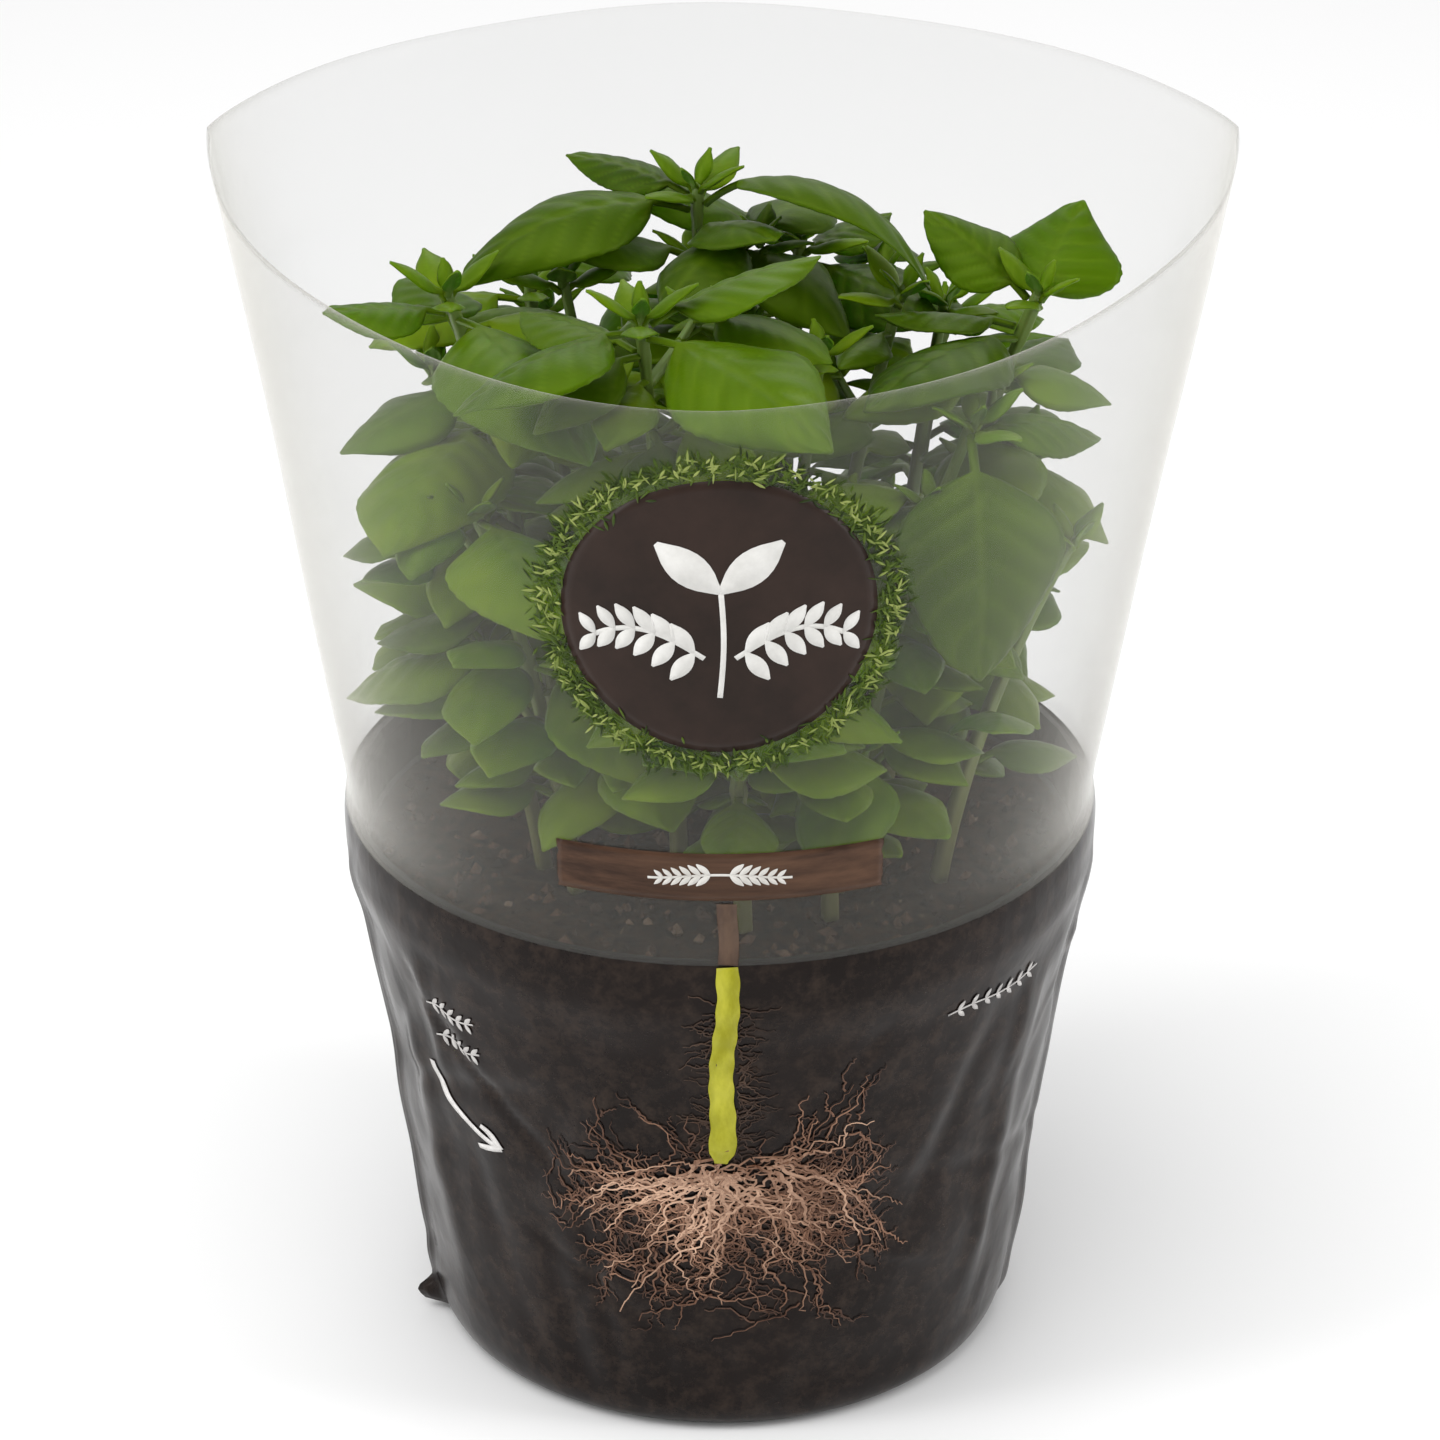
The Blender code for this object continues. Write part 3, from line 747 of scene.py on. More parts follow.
def make_sprays():
    """A pale seedling in the middle of the badge between two leafy sprays that curve down and outwards."""
    cream = ink_finish("badge_cream_ink", (0.66, 0.65, 0.62), (0.78, 0.77, 0.74), 200, rough=0.35)
    feet, bearings, lengths, widths = [], [], [], []
    stalks = []
    for side in (-1, 1):
        t = np.linspace(0, 1, 12)
        height = BADGE_HEIGHT - 7.5 + 6.5 * np.sin(t * 2.2) - 2.0 * t
        path = np.column_stack([side * (2.5 + 17.5 * t), height])
        stalks.append(path)
        for number, at in enumerate(np.linspace(1, 11, 6).astype(int)):
            outward = 0 if side > 0 else math.pi
            for lean in (0.95, -0.95):
                feet.append(path[at])
                bearings.append(outward + side * lean)
                lengths.append(6.6 - 0.45 * number)
                widths.append(2.9 - 0.16 * number)
        feet.append((0, BADGE_HEIGHT + 5.0))
        bearings.append(math.pi / 2 - side * 0.85)
        lengths.append(13.5)
        widths.append(6.2)
    front_print("badge_spray_leaves", leaf_shapes(feet, bearings, lengths, widths, steps=10), cream, 0.2)
    t = np.linspace(0, 1, 12)
    middle = np.column_stack([0.6 * np.sin(3 * t), BADGE_HEIGHT - 15 + 20.5 * t])
    front_print("badge_spray_stalks", ribbons([*stalks, middle], np.full((3, 12), 0.9)), cream, 0.16)


def make_banner():
    """A wood-brown name band left without a name, with a pale leaf garland along its middle."""
    width, depth = BANNER_SIZE
    u, v = np.meshgrid(np.linspace(-0.5, 0.5, 60), np.linspace(-0.5, 0.5, 9))
    ragged = 0.35 * value_noise(v * 40 + 90, u * 0 + 3, 2.2, 8)
    x = u * width + np.where(np.abs(u) > 0.499, ragged * np.sign(u), 0)
    height = BANNER_HEIGHT + v * depth
    wood = ink_finish("banner_wood_ink", (0.034, 0.016, 0.009), (0.100, 0.050, 0.028), 210, (0.12, 1, 1.6))
    front_print("banner", (flat_points(x, height), grid_faces(9, 60)), wood, 0.12)
    cream = ink_finish("banner_cream_ink", (0.62, 0.60, 0.56), (0.74, 0.72, 0.68), 200)
    places = np.repeat(np.linspace(1.6, 9.4, 6), 4)
    side = np.tile((1, 1, -1, -1), 6)
    feet = np.column_stack([side * places, BANNER_HEIGHT + 0.5 * np.cos(places / 4)])
    bearings = np.where(side > 0, 0.0, math.pi) + np.tile((0.75, -0.75), 12)
    long = 3.4 - 0.14 * places
    front_print("banner_garland", leaf_shapes(feet, bearings, long, long * 0.36, steps=8), cream, 0.2)
    x = np.linspace(-12, 12, 40)
    stalk = np.column_stack([x, BANNER_HEIGHT + 0.5 * np.cos(x / 4)])
    front_print("banner_garland_stalk", ribbons([stalk], np.full((1, 40), 0.45)), cream, 0.17)


def make_printed_plant():
    """The printed stem runs from under the banner down to the crown of the printed roots."""
    t = np.linspace(0, 1, 60)
    height = PRINT_TOP - (PRINT_TOP - CROWN_HEIGHT + 0.8) * t
    wobble = 1.2 + 0.35 * np.sin(9 * t) - 1.2 * t
    foot = 1 - 0.55 * smooth_step(0.94, 1.0, t)
    width = (3.6 + 0.9 * t**2 + 0.5 * np.sin(23 * t) ** 2) * foot
    green = ink_finish("printed_stem_ink", (0.30, 0.29, 0.010), (0.50, 0.48, 0.045), 240, (1, 1, 0.35))
    front_print("printed_stem", ribbons([np.column_stack([wobble, height])], [width]), green, 0.5)
    upper = np.column_stack([1.3 + 0.2 * np.sin(5 * t), 103.6 + (115.6 - 103.6) * t])
    faint = ink_finish("faint_stem_ink", (0.06, 0.035, 0.025), (0.12, 0.075, 0.05), 300, (1, 1, 0.3))
    front_print("printed_stem_upper", ribbons([upper], [np.full(60, 3.4)]), faint, 0.12)


def root_paths(rng, starts, headings, steps, stride, crinkle):
    """Crinkled strands: each keeps its heading on the whole, bends slowly, and kinks a little at every
    step."""
    count = len(starts)
    bend = np.cumsum(rng.normal(0, 0.13, (count, steps)), axis=1)
    kink = rng.normal(0, crinkle, (count, steps))
    turn = np.asarray(headings)[:, None] + bend + kink
    stride = stride * rng.uniform(0.6, 1.2, count)[:, None, None]
    step = np.stack([np.cos(turn), 0.85 * np.sin(turn)], axis=-1) * stride
    return np.asarray(starts)[:, None] + np.cumsum(step, axis=1)


def branches(rng, paths, count, steps, stride, crinkle):
    """Strands that fork off at random places along the given ones."""
    which = rng.integers(0, len(paths), count)
    where = rng.integers(2, paths.shape[1] - 2, count)
    ahead = paths[which, where + 1] - paths[which, where - 1]
    fork = rng.uniform(0.4, 1.3, count) * rng.choice((-1, 1), count)
    headings = np.arctan2(ahead[:, 1], ahead[:, 0]) + fork
    return root_paths(rng, paths[which, where], headings, steps, stride, crinkle)


def make_printed_roots():
    """The printed roots: pale main roots that spread from the crown into a left and a right clump, forking
    into finer and darker ones, and a fuzz of short dark rootlets beside the stem."""
    rng = np.random.default_rng(77)
    ways = ((-3.1, -2.3, 15), (-2.3, -1.8, 5), (-1.75, -1.35, 9), (-1.3, -0.8, 5), (-0.8, 0.25, 16))
    spread = np.concatenate([rng.uniform(*way) for way in ways])
    count = len(spread)
    crown = np.column_stack([rng.normal(1.0, 6.0, count), rng.normal(CROWN_HEIGHT - 2.5, 1.8, count)])
    main = root_paths(rng, crown, spread, 34, 1.12, 0.6)
    main[..., 1] -= 0.007 * (main[..., 0] - crown[:, None, 0]) ** 2
    second = branches(rng, main[:, 5:], 190, 20, 0.95, 0.65)
    third = branches(rng, second, 420, 14, 0.75, 0.7)
    at = rng.uniform(CROWN_HEIGHT, 96, 120)
    out = rng.choice((0, 1), 120)
    beside = np.column_stack([1.2 + (1.6 - 3.2 * out), at])
    fuzz = root_paths(rng, beside, math.pi * out + rng.normal(0, 0.8, 120), 12, 0.62, 0.6)
    layers = (
        ("roots_fuzz", fuzz, 0.26, 0.18, (0.030, 0.016, 0.011), (0.10, 0.060, 0.040)),
        ("roots_fine", third, 0.30, 0.24, (0.020, 0.009, 0.006), (0.20, 0.105, 0.068)),
        ("roots_second", second, 0.40, 0.32, (0.045, 0.015, 0.007), (0.43, 0.235, 0.150)),
        ("roots_main", main, 0.56, 0.40, (0.10, 0.034, 0.013), (0.72, 0.46, 0.32)),
    )
    for name, paths, width, proud, dark, pale in layers:
        count, steps = paths.shape[:2]
        paths[..., 0] = 1.5 + 40 * np.tanh((paths[..., 0] - 1.5) / 40)
        low = np.maximum(26 - paths[..., 1], 0)
        paths[..., 1] = np.where(low > 0, 26 - 14 * np.tanh(low / 14), paths[..., 1])
        taper = np.linspace(1, 0.35, steps)[None] * rng.uniform(0.6, 1.35, (count, 1))
        strands = ribbons(paths, width * taper)
        points = strands[0]
        own = np.repeat(rng.uniform(-0.1, 0.75, count), steps * 2)
        clump = 0.55 + 0.8 * value_noise(points[:, 0] + 200, points[:, 1] + 200, 7.5, 14)
        tone = np.clip(0.5 * own + 0.6 * clump * own + 0.25 * clump, 0, 1)
        finish = ink_finish(f"{name}_ink", dark, pale, 700, key="tone")
        front_print(name, strands, finish, proud, {"tone": tone})


def make_arrow():
    """A hand-drawn arrow that points in from the left at the printed roots."""
    t = np.linspace(0, 1, 20)[:, None]
    tail, knee, head = np.array((-50.2, 66.5)), np.array((-47.5, 57.0)), np.array((-38.0, 54.6))
    shaft = (1 - t) ** 2 * tail + 2 * t * (1 - t) * knee + t**2 * head
    barb_up = head + t * ((-3.6, 3.4) + 0.6 * np.sin(math.pi * t))
    barb_down = head + t * np.array((-4.2, -1.6))
    width = np.array([0.9 + 0.3 * np.sin(3 * t[:, 0])] * 3)
    white = ink_finish("arrow_white_ink", (0.60, 0.58, 0.56), (0.80, 0.78, 0.76), 500)
    front_print("printed_arrow", ribbons([shaft, barb_up, barb_down], width), white, 0.2)


def wrapped(along, height):
    """The sideways place of points given by their length along the film's front at a height."""
    radius = film_radius(height)
    return radius * np.sin(along / radius)


def make_doodles():
    """Hand-drawn white sprigs, left and right below the rim: a wavy stalk with a pair of leaves at every
    step. A sprig's start and its length are measured along the film."""
    white = ink_finish("doodle_white_ink", (0.42, 0.40, 0.39), (0.62, 0.60, 0.58), 500)
    sprigs = (("upper_left", -58, 81, 12), ("lower_left", -56, 74.5, 11), ("right", 42, 85, 24))
    for name, start, height, long in sprigs:
        t = np.linspace(0, 1, 24)
        stalk = np.column_stack([start + long * t, height + 0.5 * np.sin(7 * t)])
        pick = np.arange(3, 22, 4) if long < 20 else np.arange(2, 23, 3)
        feet = np.repeat(stalk[pick], 2, axis=0)
        bearings = np.tile((0.85, -0.85), len(pick))
        leaves = leaf_shapes(feet, bearings, np.full(len(feet), 2.3), np.full(len(feet), 0.95), 7)
        line = ribbons([stalk], np.full((1, 24), 0.34))
        for kind, (points, faces) in (("leaves", leaves), ("stalk", line)):
            flat = flat_points(wrapped(points[:, 0], points[:, 1]), points[:, 1])
            front_print(f"doodle_{name}_{kind}", (flat, faces), white, 0.2)


# ---- plant ----------------------------------------------------------------------------------------------


def stem_path(shoot, steps):
    """A stem stands nearly upright on the soil and leans out to its tip along a quadratic curve."""
    return bowed_path(*SHOOTS[shoot], steps)


def bowed_path(foot, tip, steps):
    """From a foot on the soil to a tip: the curve's middle point stands a quarter of the way out and half
    way up."""
    foot_x, foot_y = foot
    foot = np.array((foot_x, foot_y, SOIL_DOME + 0.4), float)
    tip = np.array(tip, float)
    knee = foot + (tip - foot) * (0.25, 0.25, 0.5)
    t = np.linspace(0, 1, steps)[:, None]
    return (1 - t) ** 2 * foot + 2 * t * (1 - t) * knee + t**2 * tip


def on_stem(shoot, below):
    """The point on a stem's axis at a distance below its tip, and the stem's radius there."""
    return along(stem_path(shoot, 12), below)


def along(path, below):
    """The point at a distance below a path's tip, and the radius there of a stem that thins evenly."""
    path = path[::-1]
    run = np.concatenate([[0], np.cumsum(np.linalg.norm(np.diff(path, axis=0), axis=1))])
    place = np.array([np.interp(below, run, path[:, axis]) for axis in range(3)])
    return place, STEM_TIP_RADIUS + (STEM_FOOT_RADIUS - STEM_TIP_RADIUS) * below / run[-1]


def leaf_half_width(share, width):
    """A narrow stalk, then an egg-shaped blade that is widest at two fifths and runs out to a pointed tip."""
    u = np.clip((share - PETIOLE_SHARE) / (1 - PETIOLE_SHARE), 0, 1)
    blade = 2.62 * u**0.55 * (1 - u) ** 0.9 * width / 2
    return np.maximum(blade, np.where(u < 0.5, 0.7, 0.3))


def leaf_sheet(start, bearing, rise, droop, length, width, roll, share, v, cup=LEAF_CUP):
    """A leaf's middle sheet and its upward normals. The midrib's slope falls evenly from rise to rise less
    droop, and each cross-section is an arc of the leaf's width that bends down at both edges."""
    bearing, rise, droop, roll = np.radians((bearing, rise, droop, roll))
    heading = np.array((math.cos(bearing), math.sin(bearing), 0))
    slope = rise - droop * share
    step = length * np.diff(share)
    mean_slope = (slope[1:] + slope[:-1]) / 2
    run = np.concatenate([[0], np.cumsum(np.cos(mean_slope) * step)])
    climb = np.concatenate([[0], np.cumsum(np.sin(mean_slope) * step)])
    midrib = start + run[:, None] * heading + climb[:, None] * UP
    side = np.array((-math.sin(bearing), math.cos(bearing), 0))
    up = -np.sin(slope)[:, None] * heading + np.cos(slope)[:, None] * UP
    across = side * math.cos(roll) + up * math.sin(roll)
    up = up * math.cos(roll) - side * math.sin(roll)
    bend = (v * cup)[None, :, None]
    half = leaf_half_width(share, width)[:, None, None]
    sheet = across[:, None] * np.sin(bend) - up[:, None] * (1 - np.cos(bend))
    normal = across[:, None] * np.sin(bend) + up[:, None] * np.cos(bend)
    return midrib[:, None] + half / cup * sheet, normal


def fitted_leaf(shoot, number):
    """The leaf's numbers as it was placed: the turn, lift and size whose sheet best fills its node's box."""
    below, bearing, rise, droop, length, width, roll = LEAVES[shoot][number]
    axis, radius = on_stem(shoot, below)
    low, high = (np.array(corner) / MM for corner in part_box(f"leaf_{shoot}_{number + 1}"))
    share = np.linspace(0, 1, 9)
    v = np.linspace(-1, 1, 5)
    best = None
    for turn in TURNS:
        heading = math.radians(bearing + turn)
        start = axis + np.array((math.cos(heading), math.sin(heading), 0)) * (radius + 0.7)
        for lift in LIFTS:
            for size in SIZES:
                shape = (bearing + turn, rise + lift, droop, length * size, width * size, roll)
                sheet, _ = leaf_sheet(start, *shape, share, v)
                points = sheet.reshape(-1, 3)
                miss = np.abs(points.min(axis=0) - low).sum() + np.abs(points.max(axis=0) - high).sum()
                if best is None or miss < best[0]:
                    best = (miss, start, shape)
    return best[1], best[2]


def fine_leaf(start, shape, rng, rows=44, columns=24):
    """A leaf with a round stalk, a grooved midrib, a blade that swells between its curved side veins,
    shallow teeth and a gently waved margin. Returns points, faces and the vein and underside attributes."""
    bearing, rise, droop, length, width, roll = shape
    stalk_rows = np.linspace(0, PETIOLE_SHARE, 6)[:-1]
    share = np.concatenate([stalk_rows, np.linspace(PETIOLE_SHARE, 1, rows - 5)])
    v = np.linspace(-1, 1, columns + 1)
    sheet, normal = leaf_sheet(start, bearing, rise, droop, length, width, roll, share, v)
    u = np.clip((share - PETIOLE_SHARE) / (1 - PETIOLE_SHARE), 0, 1)[:, None]
    side = np.abs(v)[None]
    blade = smooth_step(0, 0.08, u) * smooth_step(1.0, 0.9, u)
    phase = VEIN_PAIRS * u**0.85 - 1.5 * side**1.25 + 0.25 * np.sign(v)[None]
    from_vein = np.abs((phase + 0.5) % 1 - 0.5)
    vein = np.exp(-((from_vein / 0.10) ** 2)) * smooth_step(1.0, 0.75, side) * blade
    midrib = np.exp(-((side * leaf_half_width(share, width)[:, None] / 0.55) ** 2))
    swell = (np.sin(math.pi * np.clip(from_vein * 2, 0, 1) / 2) - 0.5) * smooth_step(1.0, 0.7, side)
    ripple = rng.uniform(0, 6.3)
    wave = np.sin(5.5 * u + ripple) * side**3 * np.sign(v)[None] + np.sin(9 * u + 2 * ripple) * side**4
    size = width / 26
    lift = size * blade * (0.34 * swell + 0.75 * wave) - 0.40 * size * midrib * blade
    teeth = 1 + 0.030 * blade * side**6 * np.abs((u * 11 % 1) - 0.5) * 2
    middle = sheet[:, columns // 2 : columns // 2 + 1]
    sheet = middle + (sheet - middle) * teeth[..., None] + normal * lift[..., None]
    stalk = smooth_step(0.14, 0.0, u)
    thick = (0.18 + 0.36 * stalk * np.sqrt(np.clip(1 - 0.9 * side**2, 0, 1)) + 0.16 * midrib)[..., None]
    top = sheet + normal * thick * np.where(stalk[..., None] > 0.5, 0.9, 0.5)
    bottom = sheet - normal * thick
    count = top.shape[0] * top.shape[1]
    points = np.vstack([top.reshape(-1, 3), bottom.reshape(-1, 3)])
    faces = shell_faces(*top.shape[:2])
    ribs = np.clip(vein * 0.8 + midrib * blade + (1 - blade) * 0.8, 0, 1).ravel()
    return points, faces, np.tile(ribs, 2), np.repeat((0.0, 1.0), count)


def shell_faces(rows, columns):
    """The faces of two grids of the same size, the second turned over, joined by a rim round their edges."""
    count = rows * columns
    top = grid_faces(rows, columns)[:, ::-1]
    corner = np.arange(count).reshape(rows, columns)
    loop = np.concatenate([corner[0], corner[1:, -1], corner[-1, -2::-1], corner[-2:0:-1, 0]])
    ahead = np.roll(loop, -1)
    rim = np.column_stack([loop, ahead, ahead + count, loop + count])
    return np.vstack([top, top[:, ::-1] + count, rim])


def join(parts):
    """Several (points, faces, attribute, ...) shapes as one, with the faces renumbered."""
    starts = np.cumsum([0] + [len(part[0]) for part in parts[:-1]])
    faces = np.vstack([part[1] + start for part, start in zip(parts, starts)])
    rest = [np.concatenate([part[k] for part in parts]) for k in range(2, len(parts[0]))]
    return (np.vstack([part[0] for part in parts]), faces, *rest)


def leaf_piece(name, parts, tones, finish):
    """Leaves joined into one piece, each with its own brightness."""
    points, faces, ribs, under = join(parts)
    tone = np.concatenate([np.full(len(part[0]), tone) for part, tone in zip(parts, tones)])
    piece = add_piece(name, points, faces, finish, {"vein": ribs, "under": under, "tone": tone})
    return piece


def coarse_sheet(start, shape):
    sheet, _ = leaf_sheet(start, *shape, np.linspace(0, 1, 9), np.linspace(-1, 1, 5))
    return sheet


def leaf_tree(start, shape):
    """A search tree of a leaf's middle sheet, to find whether another shape crosses it."""
    points = coarse_sheet(start, shape).reshape(-1, 3)
    return BVHTree.FromPolygons(points.tolist(), grid_faces(9, 5).tolist())


def inside_film(points):
    """Whether every point is well inside the film, taking the cone as round, and above the soil, by more the
    nearer it is to the pot's edge."""
    reach = np.hypot(points[..., 0], points[..., 1])
    height = points[..., 2]
    room = film_radius(np.minimum(height, CONE_START)) + np.maximum(height - CONE_START, 0) * 0.09
    ground = SOIL_DOME + 2 + 0.55 * np.maximum(reach - 28, 0)
    return bool((reach < room - 2.2).all() and (height > ground).all())


def tube_tree(path, radius):
    """A search tree of a plain tube of one radius along a path."""
    points, faces = tube(path, np.full(len(path), radius), 8)
    return BVHTree.FromPolygons(points.tolist(), faces.tolist())


def make_named_leaves(finish):
    """The leaves of the frame, each replacing its own node. Returns the search trees of them and of the
    stems."""
    rng = np.random.default_rng(5)
    trees = [tube_tree(stem_path(shoot, 14), 1.2) for shoot in SHOOTS]
    for shoot, leaves in LEAVES.items():
        for number, numbers in enumerate(leaves):
            start, shape = fitted_leaf(shoot, number)
            trees.append(leaf_tree(start, shape))
            height = SHOOTS[shoot][1][2] - numbers[0]
            # Leaves below 184 mm, inside the sleeve, get a higher tone: painted light that stands in for the
            # light the film and upper leaves keep from them.
            tone = SHOOT_TONES[shoot] + 0.45 * (height < 184) + rng.uniform(-0.2, 0.2)
            name = f"leaf_{shoot}_{number + 1}"
            leaf = fine_leaf(start, shape, rng)
            piece = leaf_piece(f"basil_{name}", [leaf], [min(max(tone, 0), 1)], finish)
            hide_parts(name)
    return trees


def heading_of(bearing):
    """The level direction of a bearing in degrees."""
    return np.array((math.cos(math.radians(bearing)), math.sin(math.radians(bearing)), 0))


def crosses(tree, trees):
    return any(tree.overlap(other) for other in trees)


def place_leaf(start, shape, trees, rng, grid=(24, 12)):
    """A fine leaf, or None where its sheet would cross another leaf or come near the film."""
    tree = leaf_tree(start + heading_of(shape[0]) * 1.5, shape)
    if not inside_film(coarse_sheet(start, shape)) or crosses(tree, trees):
        return None
    trees.append(tree)
    return fine_leaf(start, shape, rng, *grid)


def growing_tip(axis, turn, size, trees, rng):
    """Crossed pairs of steep little leaves round a growing tip."""
    parts = []
    for level, (drop, rise, length) in enumerate(((0.0, 76, 7.5), (0.9, 60, 11.0), (2.2, 42, 14.5))):
        for half in (0, 180):
            bearing = turn + 90 * level + half + rng.uniform(-12, 12)
            long = size * length * rng.uniform(0.85, 1.1)
            start = axis + heading_of(bearing) * 0.3 - UP * (0.7 + drop)
            shape = (bearing, rise, 44, long, long * 0.46, 0)
            if level == 2:
                parts.append(place_leaf(start, shape, trees, rng, (20, 10)))
            else:
                parts.append(fine_leaf(start, shape, rng, 16, 8))
    return [part for part in parts if part]


def side_shoot(path, below, trees, rng):
    """A short side stem that rises from a main one and ends in a growing tip over a pair or two of leaves."""
    axis, radius = along(path, below)
    for _ in range(16):
        bearing = rng.uniform(0, 360)
        rise = math.radians(rng.uniform(25, 60))
        reach = rng.uniform(9, 23)
        way = heading_of(bearing) * math.cos(rise) + UP * math.sin(rise)
        bowed = heading_of(bearing) * 0.14 * reach
        t = np.linspace(0, 1, 16)[:, None]
        arm = axis + t * way * reach + bowed * t * (1 - t) * 2
        tree = tube_tree(arm[3:], 0.7)
        if not inside_film(arm) or crosses(tree, trees):
            continue
        leaves = []
        for level, (back, low_rise, long) in enumerate(((1.5, 22, 22), (6.5, 8, 29))):
            for half in (0, 180):
                turn = bearing + 90 * (level + 1) + half + rng.uniform(-20, 20)
                size = long * rng.uniform(0.85, 1.3)
                droop = rng.uniform(45, 75)
                width = size * rng.uniform(0.6, 0.72)
                shape = (turn, low_rise, droop, size, width, rng.uniform(-8, 8))
                foot = arm[-1] - way * back + heading_of(turn) * 0.5
                leaves.append(place_leaf(foot, shape, trees, rng))
        leaves = [leaf for leaf in leaves if leaf]
        if len(leaves) >= 2:
            trees.append(tree)
            return arm, leaves + growing_tip(arm[-1], bearing, 0.85, trees, rng)
    return None, []


def free_path(foot, tip, trees, rng):
    """A filling shoot's path, shifted at random until it touches no leaf or stem, or None."""
    for shift in np.linspace(0, 7, 60):
        moved_foot = np.array(foot) + rng.normal(0, 1, 2) * shift
        moved_tip = np.array(tip) + rng.normal(0, 1, 3) * shift
        path = bowed_path(moved_foot, moved_tip, 40)
        tree = tube_tree(path[1:], 1.3)
        if inside_film(path[20:]) and not crosses(tree, trees):
            trees.append(tree)
            return path
    return None


def clothe_shoot(path, tone, trees, rng):
    """A shoot's growing tip, its leafy side shoots, and younger leaves all along it wherever one fits between
    its neighbours and the film. Returns the leaves, their brightness, and the side stems' tubes."""
    parts = growing_tip(path[-1], rng.uniform(0, 360), 1.0, trees, rng)
    tones = [rng.uniform(0.85, 1.0) for _ in parts]
    length = path[-1][2] - SOIL_DOME
    arms = []
    for below in np.arange(14, length - 14, 11):
        arm, leaves = side_shoot(path, below, trees, rng)
        parts += leaves
        # Leaves more than 24 mm below the tip get a higher tone: painted light that makes up for the shade of
        # the film and the leaves above.
        tones += [tone + 0.1 + 0.5 * (below > 24) + rng.uniform(-0.3, 0.2) for _ in leaves]
        if arm is not None:
            arms.append(tube(arm, np.linspace(0.95, 0.6, len(arm)), 12))
    for below in np.arange(8, length - 6, 5):
        axis, radius = along(path, below)
        for _ in range(18):
            bearing = rng.uniform(0, 360)
            long = rng.uniform(16, 40)
            rise = rng.uniform(-5, 40)
            droop = rng.uniform(30, 70)
            shape = (bearing, rise, droop, long, long * rng.uniform(0.6, 0.72), 0)
            leaf = place_leaf(axis + heading_of(bearing) * (radius - 0.2), shape, trees, rng)
            if leaf:
                parts.append(leaf)
                # Leaves more than 24 mm below the tip get a higher tone: painted light that makes up for the
                # shade of the film and the leaves above.
                tones.append(tone + 0.5 * (below > 24) + rng.uniform(-0.3, 0.3))
                break
    return parts, np.clip(tones, 0, 1), arms


def make_small_leaves(finish, stem, trees):
    """The foliage beyond the frame's own leaves: on its shoots first, then on the filling shoots."""
    rng = np.random.default_rng(9)
    paths = {shoot: stem_path(shoot, 40) for shoot in SHOOTS}
    for name, (foot, tip) in FILL_SHOOTS.items():
        paths[name] = free_path(foot, tip, trees, rng)
    for name, path in paths.items():
        if path is None:
            continue
        parts, tones, arms = clothe_shoot(path, SHOOT_TONES.get(name, 0.5), trees, rng)
        leaf_piece(f"young_leaves_{name}", parts, tones, finish)
        if name in FILL_SHOOTS:
            arms.append(tube(path, np.linspace(1.5, 0.85, len(path)), 16))
        if arms:
            points, faces = join(arms)
            add_piece(f"side_stems_{name}", points, faces, stem)


def tube(path, radius, around):
    """A closed ribbed tube along a path. Its ends are closed by shrinking the last ring nearly to a point."""
    angle = np.arange(around) * 2 * math.pi / around
    path = np.vstack([path[:1], path, path[-1:]])
    radius = np.concatenate([[0.02], radius, [0.02]])
    path[-1] += (path[-2] - path[-4]) * 0.25
    ahead = np.gradient(path, axis=0)
    ahead[0] = ahead[1]
    ahead[-1] = ahead[-2]
    ahead /= np.linalg.norm(ahead, axis=1, keepdims=True)
    first = np.cross(ahead, (0.31, 0.95, 0))
    first /= np.linalg.norm(first, axis=1, keepdims=True)
    second = np.cross(ahead, first)
    ribs = 1 + 0.11 * np.cos(4 * angle)
    ring = np.cos(angle)[None, :, None] * first[:, None] + np.sin(angle)[None, :, None] * second[:, None]
    wall = path[:, None] + radius[:, None, None] * ribs[None, :, None] * ring
    return wall.reshape(-1, 3), grid_faces(len(path), around, closed=True)


def make_stems(finish):
    """Square basil stems, thicker at their feet and swollen at each node where leaves start."""
    for shoot in SHOOTS:
        path = stem_path(shoot, 90)
        run = np.concatenate([[0], np.cumsum(np.linalg.norm(np.diff(path, axis=0), axis=1))])
        below = run[-1] - run
        radius = STEM_TIP_RADIUS + (STEM_FOOT_RADIUS - STEM_TIP_RADIUS) * below / run[-1]
        knots = sum(np.exp(-(((below - leaf[0]) / 1.6) ** 2)) for leaf in LEAVES[shoot])
        radius = radius * (0.92 + 0.28 * np.clip(knots, 0, 1))
        points, faces = tube(path, radius, 24)
        piece = add_piece(f"basil_stem_{shoot}", points, faces, finish)
        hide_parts(f"stem_{shoot}")


# ---- pot and soil ---------------------------------------------------------------------------------------


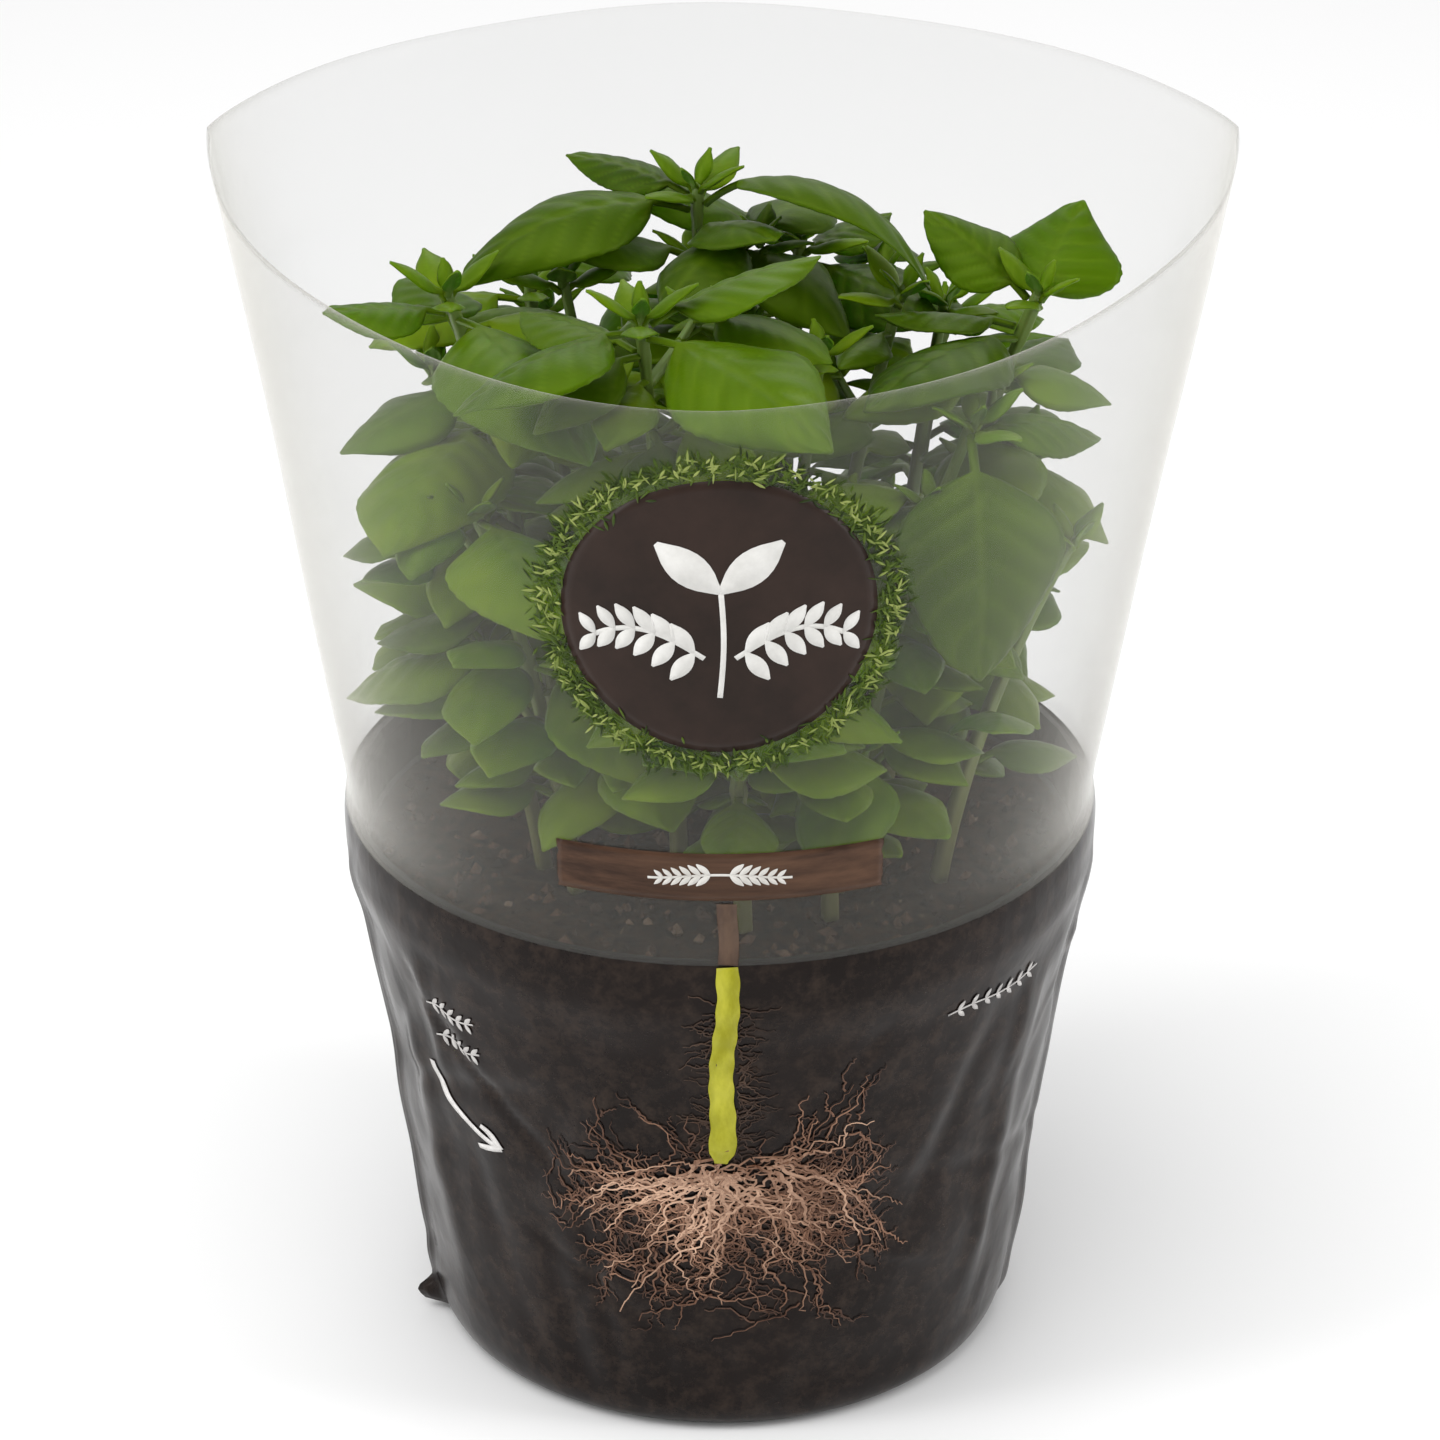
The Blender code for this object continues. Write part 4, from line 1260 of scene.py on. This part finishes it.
def make_soil(soil, crumbs):
    """Soil turned to the pot's inside, its top raised and lowered by three sizes of noise, with loose crumbs
    on it."""
    low, high = (np.array(corner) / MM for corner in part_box("soil"))
    edge = high[0] - 0.3
    columns = 220
    angle = np.arange(columns) * 2 * math.pi / columns
    rings = []
    for radius in np.linspace(1.2, edge, 70):
        x, y = radius * np.cos(angle), radius * np.sin(angle)
        dome = SOIL_DOME - 0.9 - 1.6 * (radius / edge) ** 3
        rough = 0.9 * value_noise(x + 300, y + 300, 9, 2) + 0.7 * value_noise(x + 300, y + 300, 3.4, 3)
        fine = 0.35 * value_noise(x + 300, y + 300, 1.5, 4)
        fade = smooth_step(edge, edge - 3, radius) * 0.9 + 0.1
        rings.append((x, y, dome + (rough + fine) * fade))
    for radius, height in ((edge, 92.9), (58.0, 91.0), (45.0, low[2] + 0.2)):
        rings.append((radius * np.cos(angle), radius * np.sin(angle), np.full(columns, height)))
    rings = np.array(rings).transpose(0, 2, 1)
    rows = len(rings)
    points = np.vstack([rings.reshape(-1, 3), [(0, 0, rings[0, :, 2].mean()), (0, 0, low[2] + 0.2)]])
    spoke = np.arange(columns)
    ahead = np.roll(spoke, -1)
    last = (rows - 1) * columns
    top = np.column_stack([np.full(columns, rows * columns), spoke, ahead])
    bottom = np.column_stack([np.full(columns, rows * columns + 1), last + ahead, last + spoke])
    caps = np.stack([top, bottom], axis=1).reshape(-1, 3)
    walls = grid_faces(rows, columns, closed=True)[:, ::-1]
    piece = add_piece("peat_soil", points, walls.tolist() + caps.tolist(), soil)
    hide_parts("soil")
    make_crumbs(edge, crumbs)


def make_crumbs(edge, finish):
    """Crumbs: eight-sided lumps, each stretched and turned at random, lying in the soil's surface."""
    rng = np.random.default_rng(21)
    count = 900
    base = np.array([(1, 0, 0), (-1, 0, 0), (0, 1, 0), (0, -1, 0), (0, 0, 1), (0, 0, -1)], float)
    lumps = np.array([(0, 2, 4), (2, 1, 4), (1, 3, 4), (3, 0, 4), (2, 0, 5), (1, 2, 5), (3, 1, 5), (0, 3, 5)])
    size = rng.uniform(0.5, 1.7, (count, 1, 1)) * rng.uniform(0.55, 1.3, (count, 1, 3))
    turn = rng.uniform(0, 2 * math.pi, count)
    shape = base[None] * size * rng.uniform(0.8, 1.2, (count, 6, 1))
    cosine, sine = np.cos(turn)[:, None], np.sin(turn)[:, None]
    x = shape[..., 0] * cosine - shape[..., 1] * sine
    y = shape[..., 0] * sine + shape[..., 1] * cosine
    reach = (edge - 2.5) * np.sqrt(rng.uniform(0, 1, count))
    way = rng.uniform(0, 2 * math.pi, count)
    lift = SOIL_DOME - 1.0 - 1.6 * (reach / edge) ** 3 + rng.uniform(-0.3, 1.0, count)
    centre = np.stack([reach * np.cos(way), reach * np.sin(way), lift], axis=-1)
    points = np.stack([x, y, shape[..., 2]], axis=-1) + centre[:, None]
    faces = (lumps[None] + np.arange(count)[:, None, None] * 6).reshape(-1, 3)
    tone = np.repeat(rng.uniform(0, 1, count), 6)
    piece = add_piece("soil_crumbs", points.reshape(-1, 3), faces, finish, {"tone": tone}, smooth=False)


def finish_pot():
    """The CAD pot keeps its shape and takes the black plastic."""
    pot = bpy.data.objects["pot"]
    finish = pot_finish()
    for place in pot.material_slots:
        place.material = finish


# ---- studio ---------------------------------------------------------------------------------------------


def make_camera():
    """A long lens in front of the plant and above it, looking down on it."""
    data = bpy.data.cameras.new("camera")
    data.lens = CAMERA_LENS
    data.sensor_width = 36.0
    data.clip_start = 0.01
    camera = bpy.data.objects.new("camera", data)
    camera.location = (
        0,
        -CAMERA_DISTANCE * math.cos(CAMERA_RISE),
        CAMERA_TARGET_HEIGHT + CAMERA_DISTANCE * math.sin(CAMERA_RISE),
    )
    camera.rotation_euler = (math.pi / 2 - CAMERA_RISE, 0, 0)
    bpy.context.scene.collection.objects.link(camera)
    bpy.context.scene.camera = camera


def area_light(name, place, aim, size, watts):
    """A rectangular lamp that stands at a place and faces another."""
    data = bpy.data.lights.new(name, "AREA")
    data.shape = "RECTANGLE"
    data.size, data.size_y = size
    data.energy = watts
    lamp = bpy.data.objects.new(name, data)
    lamp.location = place
    direction = np.array(aim) - np.array(place)
    yaw = math.atan2(direction[1], direction[0])
    pitch = math.atan2(math.hypot(direction[0], direction[1]), -direction[2])
    lamp.rotation_euler = (pitch, 0, yaw - math.pi / 2)
    bpy.context.scene.collection.objects.link(lamp)


def make_studio():
    """A pale sweep of floor, a white room, a large soft lamp above and a tall soft lamp on each side."""
    f = Finish("studio_floor")
    f.link(f.mix(f.noise(2, 2), (0.94, 0.94, 0.94), (0.96, 0.96, 0.96)), f.shader.inputs["Base Color"])
    f.set(Roughness=0.8, Specular_IOR_Level=0.2)
    reach = np.linspace(-6000, 6000, 9)
    x, y = np.meshgrid(reach, reach)
    points = np.column_stack([x.ravel(), y.ravel(), np.full(x.size, -0.05)])
    mesh = bpy.data.meshes.new("studio_floor")
    mesh.from_pydata((points * MM).tolist(), [], grid_faces(9, 9).tolist())
    mesh.materials.append(f.material)
    floor = bpy.data.objects.new("studio_floor", mesh)
    bpy.context.scene.collection.objects.link(floor)
    world = bpy.data.worlds.new("white_room")
    world.use_nodes = True
    world.node_tree.nodes["Background"].inputs["Color"].default_value = (1, 1, 1, 1)
    world.node_tree.nodes["Background"].inputs["Strength"].default_value = 0.56
    bpy.context.scene.world = world
    area_light("top_lamp", (-0.25, -0.35, 1.3), (0, 0, 0.1), (1.1, 1.1), 9.5)
    area_light("left_lamp", (-0.9, -0.35, 0.5), (0, 0, 0.1), (0.25, 0.9), 4)
    area_light("right_lamp", (0.9, -0.25, 0.5), (0, 0, 0.1), (0.25, 0.9), 4)
    area_light("back_lamp", (0.15, 0.9, 0.9), (0, 0, 0.12), (0.8, 0.5), 1.6)


def main():
    bpy.context.scene.view_settings.view_transform = "Standard"
    make_camera()
    make_studio()
    leaf, stem = leaf_finish(), stem_finish()
    make_sleeve(clear_film_finish(), printed_film_finish())
    make_badge()
    make_banner()
    make_printed_plant()
    make_printed_roots()
    make_arrow()
    make_doodles()
    finish_pot()
    make_soil(soil_finish(), crumb_finish())
    make_stems(stem)
    make_small_leaves(leaf, stem, make_named_leaves(leaf))


main()
